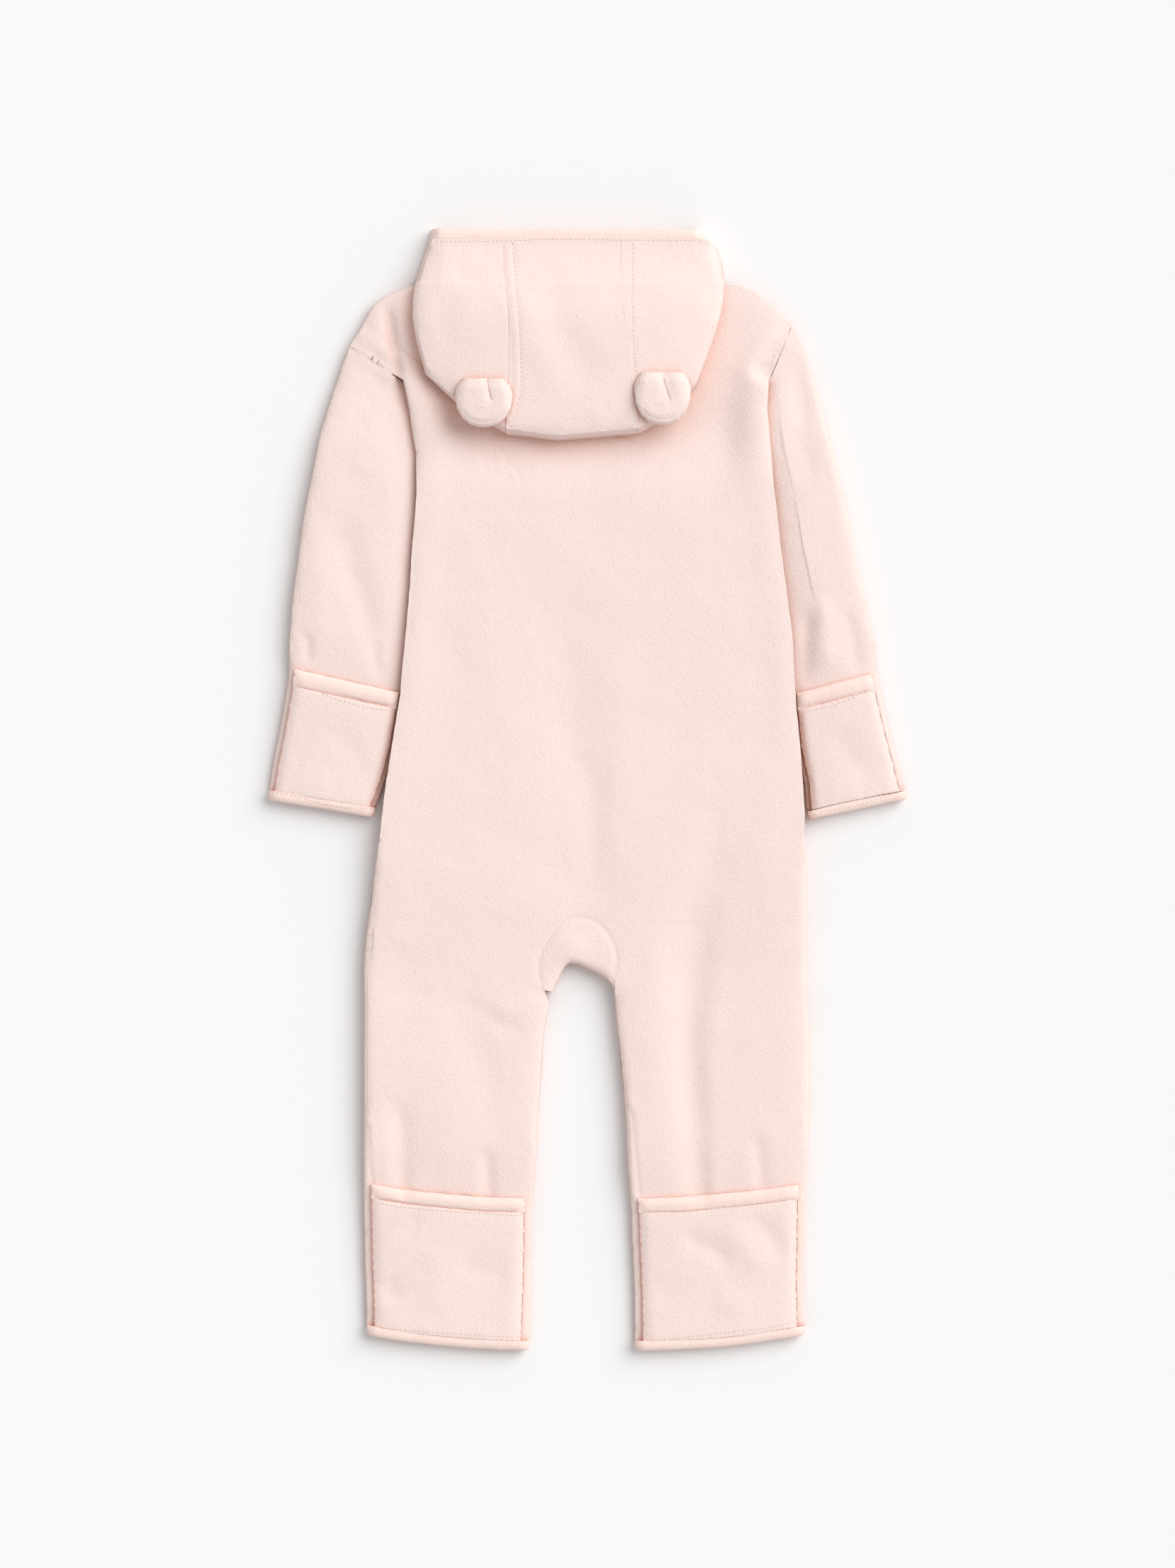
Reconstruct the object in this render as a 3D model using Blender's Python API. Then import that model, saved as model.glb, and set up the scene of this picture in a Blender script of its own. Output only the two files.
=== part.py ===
"""A baby's hooded fleece jumpsuit, laid flat on its front.

Metres, +Z up. The surface it lies on is z = 0, the hood is towards +Y, and the
origin is under the middle of the whole garment. Tables are in millimetres.
"""

import math
from collections import namedtuple

import bmesh
import bpy
from mathutils import Vector

for old in list(bpy.data.objects):
    bpy.data.objects.remove(old, do_unlink=True)

# Cloth and seams, in millimetres
FLEECE = 2.8            # thickness of the fleece
SEAM = 0.3              # gap between sewn pieces
BINDING = 3.2           # thickness of a jersey binding, folded round its edge

# Heights of the layers over the surface, in millimetres
FRONT_RIM = 4.2         # where the front's rolled edge meets the back's
PLUMP = 8.7             # two layers of fleece with their loft
PRESSED = 5.9           # two layers of fleece pressed together
LIFT = 6.3              # what a body edge that lies on a sleeve is raised by
LIFT_FLAT = 13.0        # how far in from the edge it stays raised
LIFT_END = 27.0         # how far in it is back on the surface
EDGE_ROLL = 4.4         # width of a rolled edge
HOOD_EDGE = 13.5        # height of the hood at its face edge
HOOD_CROWN = 22.0       # height of the hood where it is fullest
HOOD_CLEAR = 0.6        # gap between the hood and the back it lies on
LIFT_CLEAR = 1.12       # the same where the back is raised, as a share of how far

ROLL_STEPS = (0.0, 30.0, 60.0, 90.0)

# The body by sections across it. left and right are its outer edges, and inner_left and inner_right
# where the centre, the gusset's seam and then the inside leg run. lifts are shares of LIFT, rolls are
# the width of the edge roll, and drop is 1 where the inner edge rolls down to the front.
Section = namedtuple("Section", "y left right inner_left inner_right lift_left lift_right roll drop front")
BODY = [
    Section(297.8, -105.4, 92.0, 0.4, 0.4, 0, 0, 4.4, 0, 1),
    Section(293.2, -118.4, 102.9, 0.3, 0.3, 0, 0, 4.4, 0, 1),
    Section(286.0, -127.7, 111.7, 0.2, 0.2, 0, 0, 4.4, 0, 1),
    Section(274.3, -134.0, 121.4, 0.1, 0.1, 0, 0, 4.4, 0, 1),
    Section(262.1, -140.7, 115.9, -0.1, -0.1, 0, 0.4, 3.0, 0, 1),
    Section(252.0, -124.7, 111.6, -0.3, -0.3, 0.5, 0.7, 2.0, 0, 1),
    Section(242.3, -109.2, 107.3, -0.4, -0.4, 1, 1, 3.2, 0, 1),
    Section(224.3, -105.4, 106.3, -0.7, -0.7, 1, 1, 4.4, 0, 1),
    Section(199.1, -101.6, 108.4, -1.0, -1.0, 1, 1, 4.4, 0, 1),
    Section(173.9, -101.2, 110.5, -1.4, -1.4, 1, 1, 4.4, 0, 1),
    Section(148.7, -102.9, 113.4, -1.8, -1.8, 1, 1, 4.4, 0, 0),
    Section(119.3, -105.0, 117.6, -2.2, -2.2, 1, 1, 4.4, 0, 1),
    Section(89.9, -107.1, 121.0, -2.6, -2.6, 1, 1, 4.4, 0, 0),
    Section(56.3, -110.5, 123.1, -3.1, -3.1, 1, 1, 4.4, 0, 1),
    Section(26.9, -115.5, 125.6, -3.5, -3.5, 1, 1, 4.4, 0, 1),
    Section(6.0, -118.9, 127.2, -3.8, -3.8, 1, 1, 4.4, 0, 1),
    Section(-13.0, -121.3, 128.5, -4.1, -4.1, 0.75, 0.85, 4.4, 0, 1),
    Section(-30.0, -123.4, 128.6, -4.3, -4.3, 0.3, 0.35, 4.4, 0, 1),
    Section(-48.7, -126.0, 129.4, -4.6, -4.6, 0, 0, 4.4, 0, 1),
    Section(-65.5, -127.7, 129.4, -4.8, -4.8, 0, 0, 4.4, 0, 0),
    Section(-76.4, -129.4, 129.4, -5.0, -5.0, 0, 0, 4.4, 0, 1),
    Section(-79.4, -129.8, 129.8, -15.1, 6.7, 0, 0, 4.4, 0, 1),
    Section(-85.3, -130.6, 129.8, -20.2, 12.2, 0, 0, 4.4, 0, 1),
    Section(-93.7, -131.5, 129.8, -25.6, 16.4, 0, 0, 4.4, 0, 1),
    Section(-102.5, -131.9, 129.8, -28.6, 17.2, 0, 0, 4.4, 0, 1),
    Section(-110.9, -132.3, 129.8, -29.0, 16.6, 0, 0, 4.4, 0, 1),
    Section(-118.9, -132.3, 129.8, -25.6, 16.2, 0, 0, 4.4, 0, 1),
    Section(-126.4, -132.3, 130.2, -22.3, 16.6, 0, 0, 4.4, 1, 1),
    Section(-141.1, -132.3, 131.0, -25.2, 17.6, 0, 0, 4.4, 1, 1),
    Section(-162.1, -132.3, 131.5, -26.9, 20.2, 0, 0, 4.4, 1, 0),
    Section(-187.3, -132.3, 131.5, -28.6, 22.3, 0, 0, 4.4, 1, 1),
    Section(-212.5, -132.3, 131.0, -30.2, 23.9, 0, 0, 4.4, 1, 1),
    Section(-232.3, -132.3, 129.8, -31.9, 25.2, 0, 0, 4.4, 1, 1),
    Section(-240.6, -132.3, 129.4, -32.3, 26.0, 0, 0, 4.4, 1, 1),
    Section(-262.9, -131.9, 128.9, -32.8, 26.9, 0, 0, 4.4, 1, 1),
    Section(-288.1, -131.5, 128.5, -33.2, 27.7, 0, 0, 4.4, 1, 1),
    Section(-309.1, -130.6, 128.9, -34.0, 28.1, 0, 0, 4.4, 1, 1),
    Section(-316.7, -130.6, 128.9, -34.4, 28.1, 0, 0, 4.4, 1, 1),
]
GUSSET_TOP = -76.4       # apex of the gusset's seam
SLANT = 9.4              # how much lower a leg's section is at the inside leg, at the hem
SLANT_START = -187.3
SLANT_FULL = -232.3
HEM_LENGTH = 5.2         # depth of the binding round a hem
POCKET_TOP = -232.3      # free edge of a bootie flap, at the side seam
POCKET_FOLD = -240.6     # lower edge of its binding
LEG_END = -316.7

# Soft folds of the back: from one end to the other, half its width, and how far it stands up
Fold = namedtuple("Fold", "x0 y0 x1 y1 width height")
FOLDS = [
    Fold(-48, 98, -17, -45, 15, -1.9),      # trough to the gusset from the left
    Fold(34, 90, 4, -66, 15, -1.9),         # and from the right
    Fold(84, 2, 66, -110, 14, -2.2),        # down the right leg
    Fold(66, -110, 70, -236, 12, -2.4),
    Fold(92, 270, 92, 195, 13, -1.6),       # beside the hood, on the right
    Fold(-104, -200, -104, -236, 8, -2.0),  # into the left bootie
    Fold(-60, -205, -60, -236, 8, -2.2),
    Fold(50, -150, 48, -230, 12, 0.5),      # ridges between them
    Fold(-82, -150, -82, -226, 12, 0.5),
    Fold(100, -150, 98, -228, 11, 0.5),
]

# A sleeve by sections across it: its outer edge, its inner edge under the side of the body, and its
# height. The rows from MITT_TOP on are pressed flat under the mitt.
Cut = namedtuple("Cut", "outer_x outer_y inner_x inner_y height")
SLEEVE_LEFT = [
    Cut(-141.1, 261.6, -109.6, 241.9, 7.6),
    Cut(-144.9, 252.0, -100.4, 231.5, 8.8),
    Cut(-151.6, 232.7, -93.7, 215.9, 8.9),
    Cut(-158.8, 207.5, -90.3, 194.9, 8.9),
    Cut(-165.5, 173.9, -89.5, 168.8, 8.9),
    Cut(-170.1, 146.6, -91.1, 143.6, 8.9),
    Cut(-174.7, 110.9, -95.3, 110.9, 8.9),
    Cut(-176.6, 86.0, -100.4, 79.4, 8.0),
    Cut(-176.8, 72.0, -105.0, 56.0, 5.9),
    Cut(-177.6, 62.0, -107.0, 46.5, 5.9),
    Cut(-181.6, 39.5, -113.2, 24.8, 5.9),
    Cut(-186.4, 14.3, -119.6, 5.0, 5.9),
    Cut(-188.4, -0.4, -125.6, -11.2, 5.9),
]
SLEEVE_RIGHT = [
    Cut(121.5, 273.2, 107.0, 240.9, 7.6),
    Cut(126.4, 266.3, 98.0, 231.5, 8.8),
    Cut(131.9, 249.5, 94.5, 215.9, 8.9),
    Cut(139.4, 224.3, 93.7, 194.9, 8.9),
    Cut(151.2, 178.1, 98.7, 168.8, 8.9),
    Cut(157.1, 146.6, 102.9, 143.6, 8.9),
    Cut(165.1, 110.9, 110.5, 110.9, 8.9),
    Cut(169.9, 86.0, 115.9, 79.4, 8.0),
    Cut(171.8, 69.7, 119.5, 56.0, 5.9),
    Cut(173.6, 60.0, 121.4, 46.5, 5.9),
    Cut(178.0, 39.5, 123.5, 24.8, 5.9),
    Cut(184.4, 16.4, 128.2, 4.0, 5.9),
    Cut(188.3, 0.0, 129.6, -12.4, 5.9),
]
MITT_TOP = 8             # section at the mitt's free edge
MITT_FOLD = 9            # section at the lower edge of its binding

# The hood by lines from its face edge down to its crown; bow is how far a line bulges to +X, and early
# is under 1 where it bulges most near its top
HoodLine = namedtuple("HoodLine", "top_x top_y bottom_x bottom_y bow early")
HOOD = [
    HoodLine(-94.1, 325.0, -95.8, 245.3, -8.8, 1.0),
    HoodLine(-73.1, 325.0, -76.0, 226.6, -3.4, 1.0),
    HoodLine(-50.8, 325.0, -47.5, 209.4, 3.8, 1.0),
    HoodLine(-15.1, 325.0, -16.4, 205.8, 0.0, 1.0),
    HoodLine(21.0, 325.0, 31.1, 210.0, -4.6, 1.0),
    HoodLine(48.7, 325.0, 50.8, 222.0, 0.8, 1.0),
    HoodLine(73.5, 323.9, 64.5, 239.0, 11.0, 0.7),
]
LEFT_SEAM = 2            # lines of the table that are seams
RIGHT_SEAM = 4
HOOD_ROLL = 6.5
HOOD_CORNER = (320.0, 312.0)    # rows that round the corners at its face edge
NECK_UPPER = 300.8       # the hood lies on the surface above this
NECK_LOWER = 298.6       # and on the back below this

# Ears: centre and top of the sewn edge, half width, depth, and where the tuck is
Ear = namedtuple("Ear", "x top half depth tuck")
EARS = {
    "ear_left": Ear(-61.0, 242.0, 17.0, 28.2, 3.5),
    "ear_right": Ear(44.0, 246.0, 17.0, 31.0, 0.5),
}
EAR_THICK = 5.8
EAR_RIM = 5.0
EAR_CHEEK = 0.36         # share of its depth that an ear has at its sides
EAR_ROUND = 2.5          # how full the curve of its lower edge is
EAR_GATHER = 0.25        # how much narrower its sewn edge is than its widest part

# Front zip
ZIP_WIDTH = 10.0
ZIP_LOW = 1.8
ZIP_HIGH = 3.4
ZIP_TOP = 281.0
ZIP_BOTTOM = -76.0
ZIP_SECTIONS = 8
SLIDER_WIDTH = 8.4
SLIDER_LENGTH = 9.0
SLIDER_LOW = 0.3
SLIDER_RAIL = 0.9        # thickness of its sides
SLIDER_CAP = 1.2         # and of the plate over the chain
PULL_INSET = 2.0         # from the slider's lower end to the pull's axis
PULL_WIDTH = 5.2
PULL_LENGTH = 18.0
PULL_THICK = 1.0
PULL_AXIS_Z = 0.8

COLOURS = {
    "fleece": (0.90, 0.72, 0.66, 1.0),
    "jersey": (0.93, 0.70, 0.62, 1.0),
    "zip_tape": (0.90, 0.70, 0.64, 1.0),
    "zip_metal": (0.72, 0.72, 0.74, 1.0),
}


def between(table, y, column, key="y"):
    """The value of a column at y, straight between the rows of a table that runs down in y."""
    if y >= getattr(table[0], key):
        return getattr(table[0], column)
    for above, below in zip(table, table[1:]):
        y0, y1 = getattr(above, key), getattr(below, key)
        if y0 >= y >= y1:
            share = (y0 - y) / (y0 - y1)
            return getattr(above, column) * (1 - share) + getattr(below, column) * share
    return getattr(table[-1], column)


def clamp(value, low=0.0, high=1.0):
    return max(low, min(high, value))


def lift_at(x, y):
    """How far the front is off the surface, where the body's sides lie on the sleeves."""
    from_left = x - between(BODY, y, "left")
    from_right = between(BODY, y, "right") - x
    left = between(BODY, y, "lift_left") * clamp((LIFT_END - from_left) / (LIFT_END - LIFT_FLAT))
    right = between(BODY, y, "lift_right") * clamp((LIFT_END - from_right) / (LIFT_END - LIFT_FLAT))
    return LIFT * max(left, right)


def fold_height(x, y):
    """What the soft folds add at a point of the back."""
    total = 0.0
    for fold in FOLDS:
        along_x, along_y = fold.x1 - fold.x0, fold.y1 - fold.y0
        length = math.hypot(along_x, along_y)
        share = ((x - fold.x0) * along_x + (y - fold.y0) * along_y) / length**2
        nearest = clamp(share)
        away = math.hypot(x - fold.x0 - nearest * along_x, y - fold.y0 - nearest * along_y)
        total += fold.height * math.exp(-((away / fold.width) ** 2))
    return total


def back_top(x, y, row_y):
    """Height of the back's outer face. Under a bootie flap it is pressed down."""
    loft = PLUMP + fold_height(x, y)
    into_pocket = clamp((row_y - POCKET_TOP) / 20.0)
    loft = PRESSED + 0.1 + (loft - PRESSED - 0.1) * into_pocket
    return lift_at(x, y) + clamp(loft, PRESSED, PRESSED + 3.5)


def slant_at(share_across, row_y):
    """A leg's sections run down towards the inside leg."""
    weight = clamp((SLANT_START - row_y) / (SLANT_START - SLANT_FULL))
    return SLANT * weight * (1 - (1 - share_across) ** 2)


class Cloth:
    """Gathers grids of paired outer and inner points, and makes them one closed wall."""

    def __init__(self):
        self.outer = []
        self.inner = []
        self.index = {}
        self.faces = []

    def point(self, outer, inner):
        key = tuple(round(value, 3) for value in outer)
        if key not in self.index:
            self.index[key] = len(self.outer)
            self.outer.append(outer)
            self.inner.append(inner)
        return self.index[key]

    def grid(self, outer_rows, inner_rows, closed=False):
        rows = []
        for outer_row, inner_row in zip(outer_rows, inner_rows):
            row = [self.point(tuple(a), tuple(b)) for a, b in zip(outer_row, inner_row)]
            rows.append(row + row[:1] if closed else row)
        for upper, lower in zip(rows, rows[1:]):
            for j in range(len(upper) - 1):
                face = []
                for corner in (upper[j], upper[j + 1], lower[j + 1], lower[j]):
                    if corner not in face:
                        face.append(corner)
                if len(face) > 2:
                    self.faces.append(face)

    def build(self, name, material):
        count = len(self.outer)
        edges = {}
        for face in self.faces:
            for a, b in zip(face, face[1:] + face[:1]):
                edges[(a, b)] = edges.get((a, b), 0) + 1
        faces = list(self.faces)
        faces += [[corner + count for corner in reversed(face)] for face in self.faces]
        for a, b in edges:
            if (b, a) not in edges:
                faces.append([b, a, a + count, b + count])
        return solid(name, self.outer + self.inner, faces, material)


def solid(name, points, faces, material, origin=(0.0, 0.0, 0.0)):
    """A mesh object from points in millimetres, with its faces turned outwards."""
    mesh = bpy.data.meshes.new(name)
    work = bmesh.new()
    origin = Vector(origin)
    corners = [work.verts.new((Vector(point) - origin) / 1000.0) for point in points]
    for face in faces:
        work.faces.new([corners[index] for index in face])
    bmesh.ops.recalc_face_normals(work, faces=work.faces)
    if work.calc_volume(signed=True) < 0:
        bmesh.ops.reverse_faces(work, faces=work.faces)
    bmesh.ops.triangulate(work, faces=work.faces)
    work.to_mesh(mesh)
    work.free()
    mesh.shade_smooth()
    mesh.set_sharp_from_angle(angle=math.radians(50))
    made = bpy.data.objects.new(name, mesh)
    made.location = origin / 1000.0
    made.data.materials.append(finish(name, material))
    bpy.context.scene.collection.objects.link(made)
    return made


def finish(name, kind):
    """A material of its own for each piece."""
    made = bpy.data.materials.new(name + "_" + kind)
    made.use_nodes = True
    shader = made.node_tree.nodes["Principled BSDF"]
    shader.inputs["Base Color"].default_value = COLOURS[kind]
    shader.inputs["Roughness"].default_value = 0.35 if kind == "zip_metal" else 0.9
    shader.inputs["Metallic"].default_value = 1.0 if kind == "zip_metal" else 0.0
    made.diffuse_color = COLOURS[kind]
    return made


def across(width, roll, inner_roll, drop, middle):
    """Columns across half a section: distance from the outer edge and from the wall's inner face,
    with the share of the height that each edge's roll leaves."""
    columns = []
    for degrees in ROLL_STEPS:
        turn = math.radians(degrees)
        away = roll * (1 - math.cos(turn))
        inside = FLEECE + (roll - FLEECE) * (1 - math.cos(turn))
        columns.append((away, inside, math.sin(turn)))
    columns.append((LIFT_FLAT, LIFT_FLAT, 1.0))
    columns.append((LIFT_END, LIFT_END, 1.0))
    last = width - (inner_roll if drop else 12.0)
    for step in range(1, middle + 1):
        place = LIFT_END + (last - LIFT_END) * step / (middle + 1)
        columns.append((place, place, 1.0))
    for degrees in reversed(ROLL_STEPS):
        turn = math.radians(degrees)
        if drop:
            away = width - inner_roll * (1 - math.cos(turn))
            inside = width - FLEECE - (inner_roll - FLEECE) * (1 - math.cos(turn))
            columns.append((away, inside, math.sin(turn)))
        else:
            away = width - 12.0 * degrees / 90.0
            columns.append((away, away, 1.0))
    return columns


def body_rows(side, middle, is_front):
    """Rows of outer and inner points for one half of the back or front."""
    outer_rows, inner_rows = [], []
    for section in BODY:
        if is_front and not section.front:
            continue
        sign = 1 if side == "left" else -1
        edge = section.left if side == "left" else section.right
        inner = section.inner_left if side == "left" else section.inner_right
        if is_front and section.y >= GUSSET_TOP:
            inner -= sign * (ZIP_WIDTH / 2 + SEAM)
        width = abs(inner - edge)
        outer_row, inner_row = [], []
        for away, inside, share in across(width, section.roll, EDGE_ROLL, section.drop, middle):
            points = []
            for place in (away, inside):
                x = edge + sign * place
                y = section.y - slant_at(clamp(place / width), section.y)
                points.append((x, y))
            (x, y), (x_in, y_in) = points
            if is_front:
                low = lift_at(x, section.y)
                outer_row.append((x, y, low + FRONT_RIM * (1 - share)))
                low = lift_at(x_in, section.y)
                inner_row.append((x_in, y_in, low + FRONT_RIM - (FRONT_RIM - FLEECE) * share))
            else:
                rim = lift_at(x, section.y) + FRONT_RIM + SEAM
                outer_row.append((x, y, rim + (back_top(x, y, section.y) - rim) * share))
                rim = lift_at(x_in, section.y) + FRONT_RIM + SEAM
                high = back_top(x_in, y_in, section.y) - FLEECE
                inner_row.append((x_in, y_in, rim + (high - rim) * share))
        outer_rows.append(outer_row)
        inner_rows.append(inner_row)
    return outer_rows, inner_rows


def make_back():
    cloth = Cloth()
    for side in ("left", "right"):
        outer_rows, inner_rows = body_rows(side, 3, False)
        if side == "right":
            outer_rows = [row[::-1] for row in outer_rows]
            inner_rows = [row[::-1] for row in inner_rows]
        cloth.grid(outer_rows, inner_rows)
    cloth.build("back_body", "fleece")


def make_fronts():
    for side in ("left", "right"):
        cloth = Cloth()
        cloth.grid(*body_rows(side, 1, True))
        cloth.build("front_" + side, "fleece")


# The gusset by stations from its left end round to its right end: where it is sewn to the body's
# inner edge, and the point of the crotch fold that the station runs to.
Station = namedtuple("Station", "edge y fold_x fold_y")
GUSSET = [
    Station("inner_left", -118.6, -19.9, -119.3),
    Station("inner_left", -110.9, -19.0, -116.5),
    Station("inner_left", -102.5, -17.0, -112.5),
    Station("inner_left", -93.7, -15.2, -108.4),
    Station("inner_left", -85.3, -13.2, -104.6),
    Station("inner_left", -79.4, -10.2, -102.6),
    Station("inner_left", -76.4, -5.6, -103.4),
    Station("inner_right", -79.4, 0.4, -106.2),
    Station("inner_right", -85.3, 5.2, -108.6),
    Station("inner_right", -93.7, 9.2, -110.9),
    Station("inner_right", -102.5, 12.4, -113.3),
    Station("inner_right", -108.0, 14.4, -115.9),
    Station("inner_right", -112.0, 15.6, -118.5),
]
GUSSET_MIDDLE = (-6.0, -102.0)


def folded(start, end, top, roll):
    """Outer and inner points of one strip of cloth that runs from start to end and folds back under."""
    (x0, y0), (x1, y1) = start, end
    length = math.hypot(x1 - x0, y1 - y0)
    way_x, way_y = (x1 - x0) / length, (y1 - y0) / length
    half = top / 2
    profile = [(0.0, 0.0, 1.0), ((length - roll) / 2, (length - roll) / 2, 1.0)]
    for degrees in range(90, -91, -30):
        turn = math.radians(degrees)
        away = length - roll * (1 - math.cos(turn))
        inside = length - FLEECE - (roll - FLEECE) * (1 - math.cos(turn))
        profile.append((away, inside, math.sin(turn)))
    profile += [((length - roll) / 2, (length - roll) / 2, -1.0), (0.0, 0.0, -1.0)]
    outer, inner = [], []
    for away, inside, rise in profile:
        outer.append((x0 + way_x * away, y0 + way_y * away, half + half * rise))
        inner.append((x0 + way_x * inside, y0 + way_y * inside, half + (half - FLEECE) * rise))
    return outer, inner


def make_gusset():
    cloth = Cloth()
    outer_rows, inner_rows = [], []
    for station in GUSSET:
        x = between(BODY, station.y, station.edge)
        y = station.y
        top = back_top(x, y, y)
        reach = math.hypot(GUSSET_MIDDLE[0] - x, GUSSET_MIDDLE[1] - y)
        x += (GUSSET_MIDDLE[0] - x) / reach * SEAM * 1.4
        y += (GUSSET_MIDDLE[1] - y) / reach * SEAM * 1.4
        length = math.hypot(station.fold_x - x, station.fold_y - y)
        outer, inner = folded((x, y), (station.fold_x, station.fold_y), top, min(EDGE_ROLL, length - 0.6))
        outer_rows.append(outer)
        inner_rows.append(inner)
    cloth.grid(outer_rows, inner_rows)
    cloth.build("gusset", "fleece")


INNER_ROLL = 3.1
SLEEVE_STEP = 24.0       # from the inner edge to where the sleeve is full again
SLEEVE_THIN = 12.5       # width that lies under the body


def ring(length, height):
    """A sleeve's section: distance along it and height, and the same for the wall's inner face."""

    def rolled(start, sign, roll, half, degrees):
        turn = math.radians(degrees)
        away = roll * (1 - math.cos(turn))
        inside = FLEECE + (roll - FLEECE) * (1 - math.cos(turn))
        rise = math.sin(turn)
        return start + sign * away, half + half * rise, start + sign * inside, half + (half - FLEECE) * rise

    step = min(SLEEVE_STEP, length * 0.6)
    thin = min(SLEEVE_THIN, length * 0.35)
    points = [rolled(0.0, 1, EDGE_ROLL, height / 2, degrees) for degrees in (0, 30, 60, 90)]
    for place, high in (
        ((EDGE_ROLL + length - step) / 2, height),
        (length - step, height),
        (length - thin, PRESSED),
    ):
        points.append((place, high, place, high - FLEECE))
    points += [rolled(length, -1, INNER_ROLL, PRESSED / 2, degrees) for degrees in (90, 45, 0, -45, -90)]
    points.append((length / 2, 0.0, length / 2, FLEECE))
    points += [rolled(0.0, 1, EDGE_ROLL, height / 2, degrees) for degrees in (-90, -60, -30)]
    return points


def placed(start, end, points):
    """Ring points set along the line from start to end."""
    (x0, y0), (x1, y1) = start, end
    length = math.hypot(x1 - x0, y1 - y0)
    way_x, way_y = (x1 - x0) / length, (y1 - y0) / length
    outer = [(x0 + way_x * away, y0 + way_y * away, z) for away, z, _, _ in points]
    inner = [(x0 + way_x * inside, y0 + way_y * inside, z) for _, _, inside, z in points]
    return outer, inner


def cut_length(cut):
    return math.hypot(cut.inner_x - cut.outer_x, cut.inner_y - cut.outer_y)


def make_sleeve(side, cuts):
    cloth = Cloth()
    outer_rows, inner_rows = [], []
    for cut in cuts:
        section = ring(cut_length(cut), cut.height)
        outer, inner = placed((cut.outer_x, cut.outer_y), (cut.inner_x, cut.inner_y), section)
        outer_rows.append(outer)
        inner_rows.append(inner)
    cloth.grid(outer_rows, inner_rows, closed=True)
    cloth.build("sleeve_" + side, "fleece")


FLAP_LOW = PRESSED + 0.1 + SEAM
FLAP_START = 3.6         # how far in from the side a flap is sewn
BAND_PROFILE = ((0.0, 0.35), (0.18, 0.85), (0.5, 1.0), (0.82, 0.85), (1.0, 0.35))


def mitt_end(side, cut):
    """How far along its section the mitt reaches: to the sleeve's inner edge or the body's side."""
    length = cut_length(cut)
    for step in range(100, 0, -1):
        x, y = mitt_place(cut, length * step / 100)
        if abs(x) > abs(between(BODY, y, side)) + SEAM * 3:
            return min(length * step / 100, length - INNER_ROLL - SEAM)
    return length - INNER_ROLL


def mitt_place(cut, away):
    share = away / cut_length(cut)
    return (
        cut.outer_x + (cut.inner_x - cut.outer_x) * share,
        cut.outer_y + (cut.inner_y - cut.outer_y) * share,
    )


MITT_COLUMNS = (0.0, 0.08, 0.3, 0.5, 0.7, 0.92, 1.0)


def make_mitt(side, cuts):
    cloth = Cloth()
    outer_rows, inner_rows = [], []
    for cut in cuts[MITT_FOLD:]:
        end = mitt_end(side, cut)
        outer, inner = [], []
        for share in MITT_COLUMNS:
            x, y = mitt_place(cut, FLAP_START + (end - FLAP_START) * share)
            soft = 0.6 if share in (0.0, 1.0) else 0.0
            crown = 0.7 * math.sin(math.pi * share)
            outer.append((x, y, FLAP_LOW + FLEECE + crown - soft))
            inner.append((x, y, FLAP_LOW + crown))
        outer_rows.append(outer)
        inner_rows.append(inner)
    cloth.grid(outer_rows, inner_rows)
    cloth.build("mitt_flap_" + side, "fleece")

    cloth = Cloth()
    outer_rows, inner_rows = [], []
    top, fold = cuts[MITT_TOP], cuts[MITT_FOLD]
    for share_down, height in BAND_PROFILE:
        outer, inner = [], []
        for share in MITT_COLUMNS:
            x0, y0 = mitt_place(top, FLAP_START + (mitt_end(side, top) - FLAP_START) * share)
            x1, y1 = mitt_place(fold, FLAP_START + (mitt_end(side, fold) - FLAP_START) * share)
            reach = math.hypot(x1 - x0, y1 - y0)
            down = share_down * (1 - SEAM / reach)
            x, y = x0 + (x1 - x0) * down, y0 + (y1 - y0) * down
            crown = 0.7 * math.sin(math.pi * share)
            outer.append((x, y, FLAP_LOW + crown + BINDING * height))
            inner.append((x, y, FLAP_LOW + crown))
        outer_rows.append(outer)
        inner_rows.append(inner)
    cloth.grid(outer_rows, inner_rows)
    cloth.build("mitt_binding_" + side, "jersey")


RING_ROWS = ((0.0, 0.0), (0.5, 0.1), (0.85, 0.8), (1.0, 2.0))
HEM_HEIGHT = 9.2
HEM_TOP_WALL = 5.9
HEM_BOTTOM_WALL = 2.9


def hem_rows(place, length):
    """Rows of a hem's ring: each is set further down and drawn in, so its end is round."""
    outer_rows, inner_rows = [], []
    middle = HEM_HEIGHT / 2
    points = []
    for away, inside, share in across(length, EDGE_ROLL, EDGE_ROLL, 1, 3):
        points.append((away, middle + middle * share, inside, middle + (middle - HEM_TOP_WALL) * share))
    for away, inside, share in across(length, EDGE_ROLL, EDGE_ROLL, 1, 1)[-2:0:-1]:
        points.append((away, middle - middle * share, inside, middle - (middle - HEM_BOTTOM_WALL) * share))
    for share, drawn in RING_ROWS:
        outer, inner = [], []
        for away, z, inside, z_in in points:
            pulled = away + drawn * (1 - 2 * away / length)
            height = HEM_HEIGHT / 2 + (z - HEM_HEIGHT / 2) * (1 - 0.45 * max(0.0, drawn - 0.1) / 1.9)
            height = 0.0 if z < 0.01 and drawn < 0.5 else height
            outer.append(place(pulled, share) + (height,))
            inner.append(place(inside, share) + (z_in,))
        outer_rows.append(outer)
        inner_rows.append(inner)
    return outer_rows, inner_rows


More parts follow.
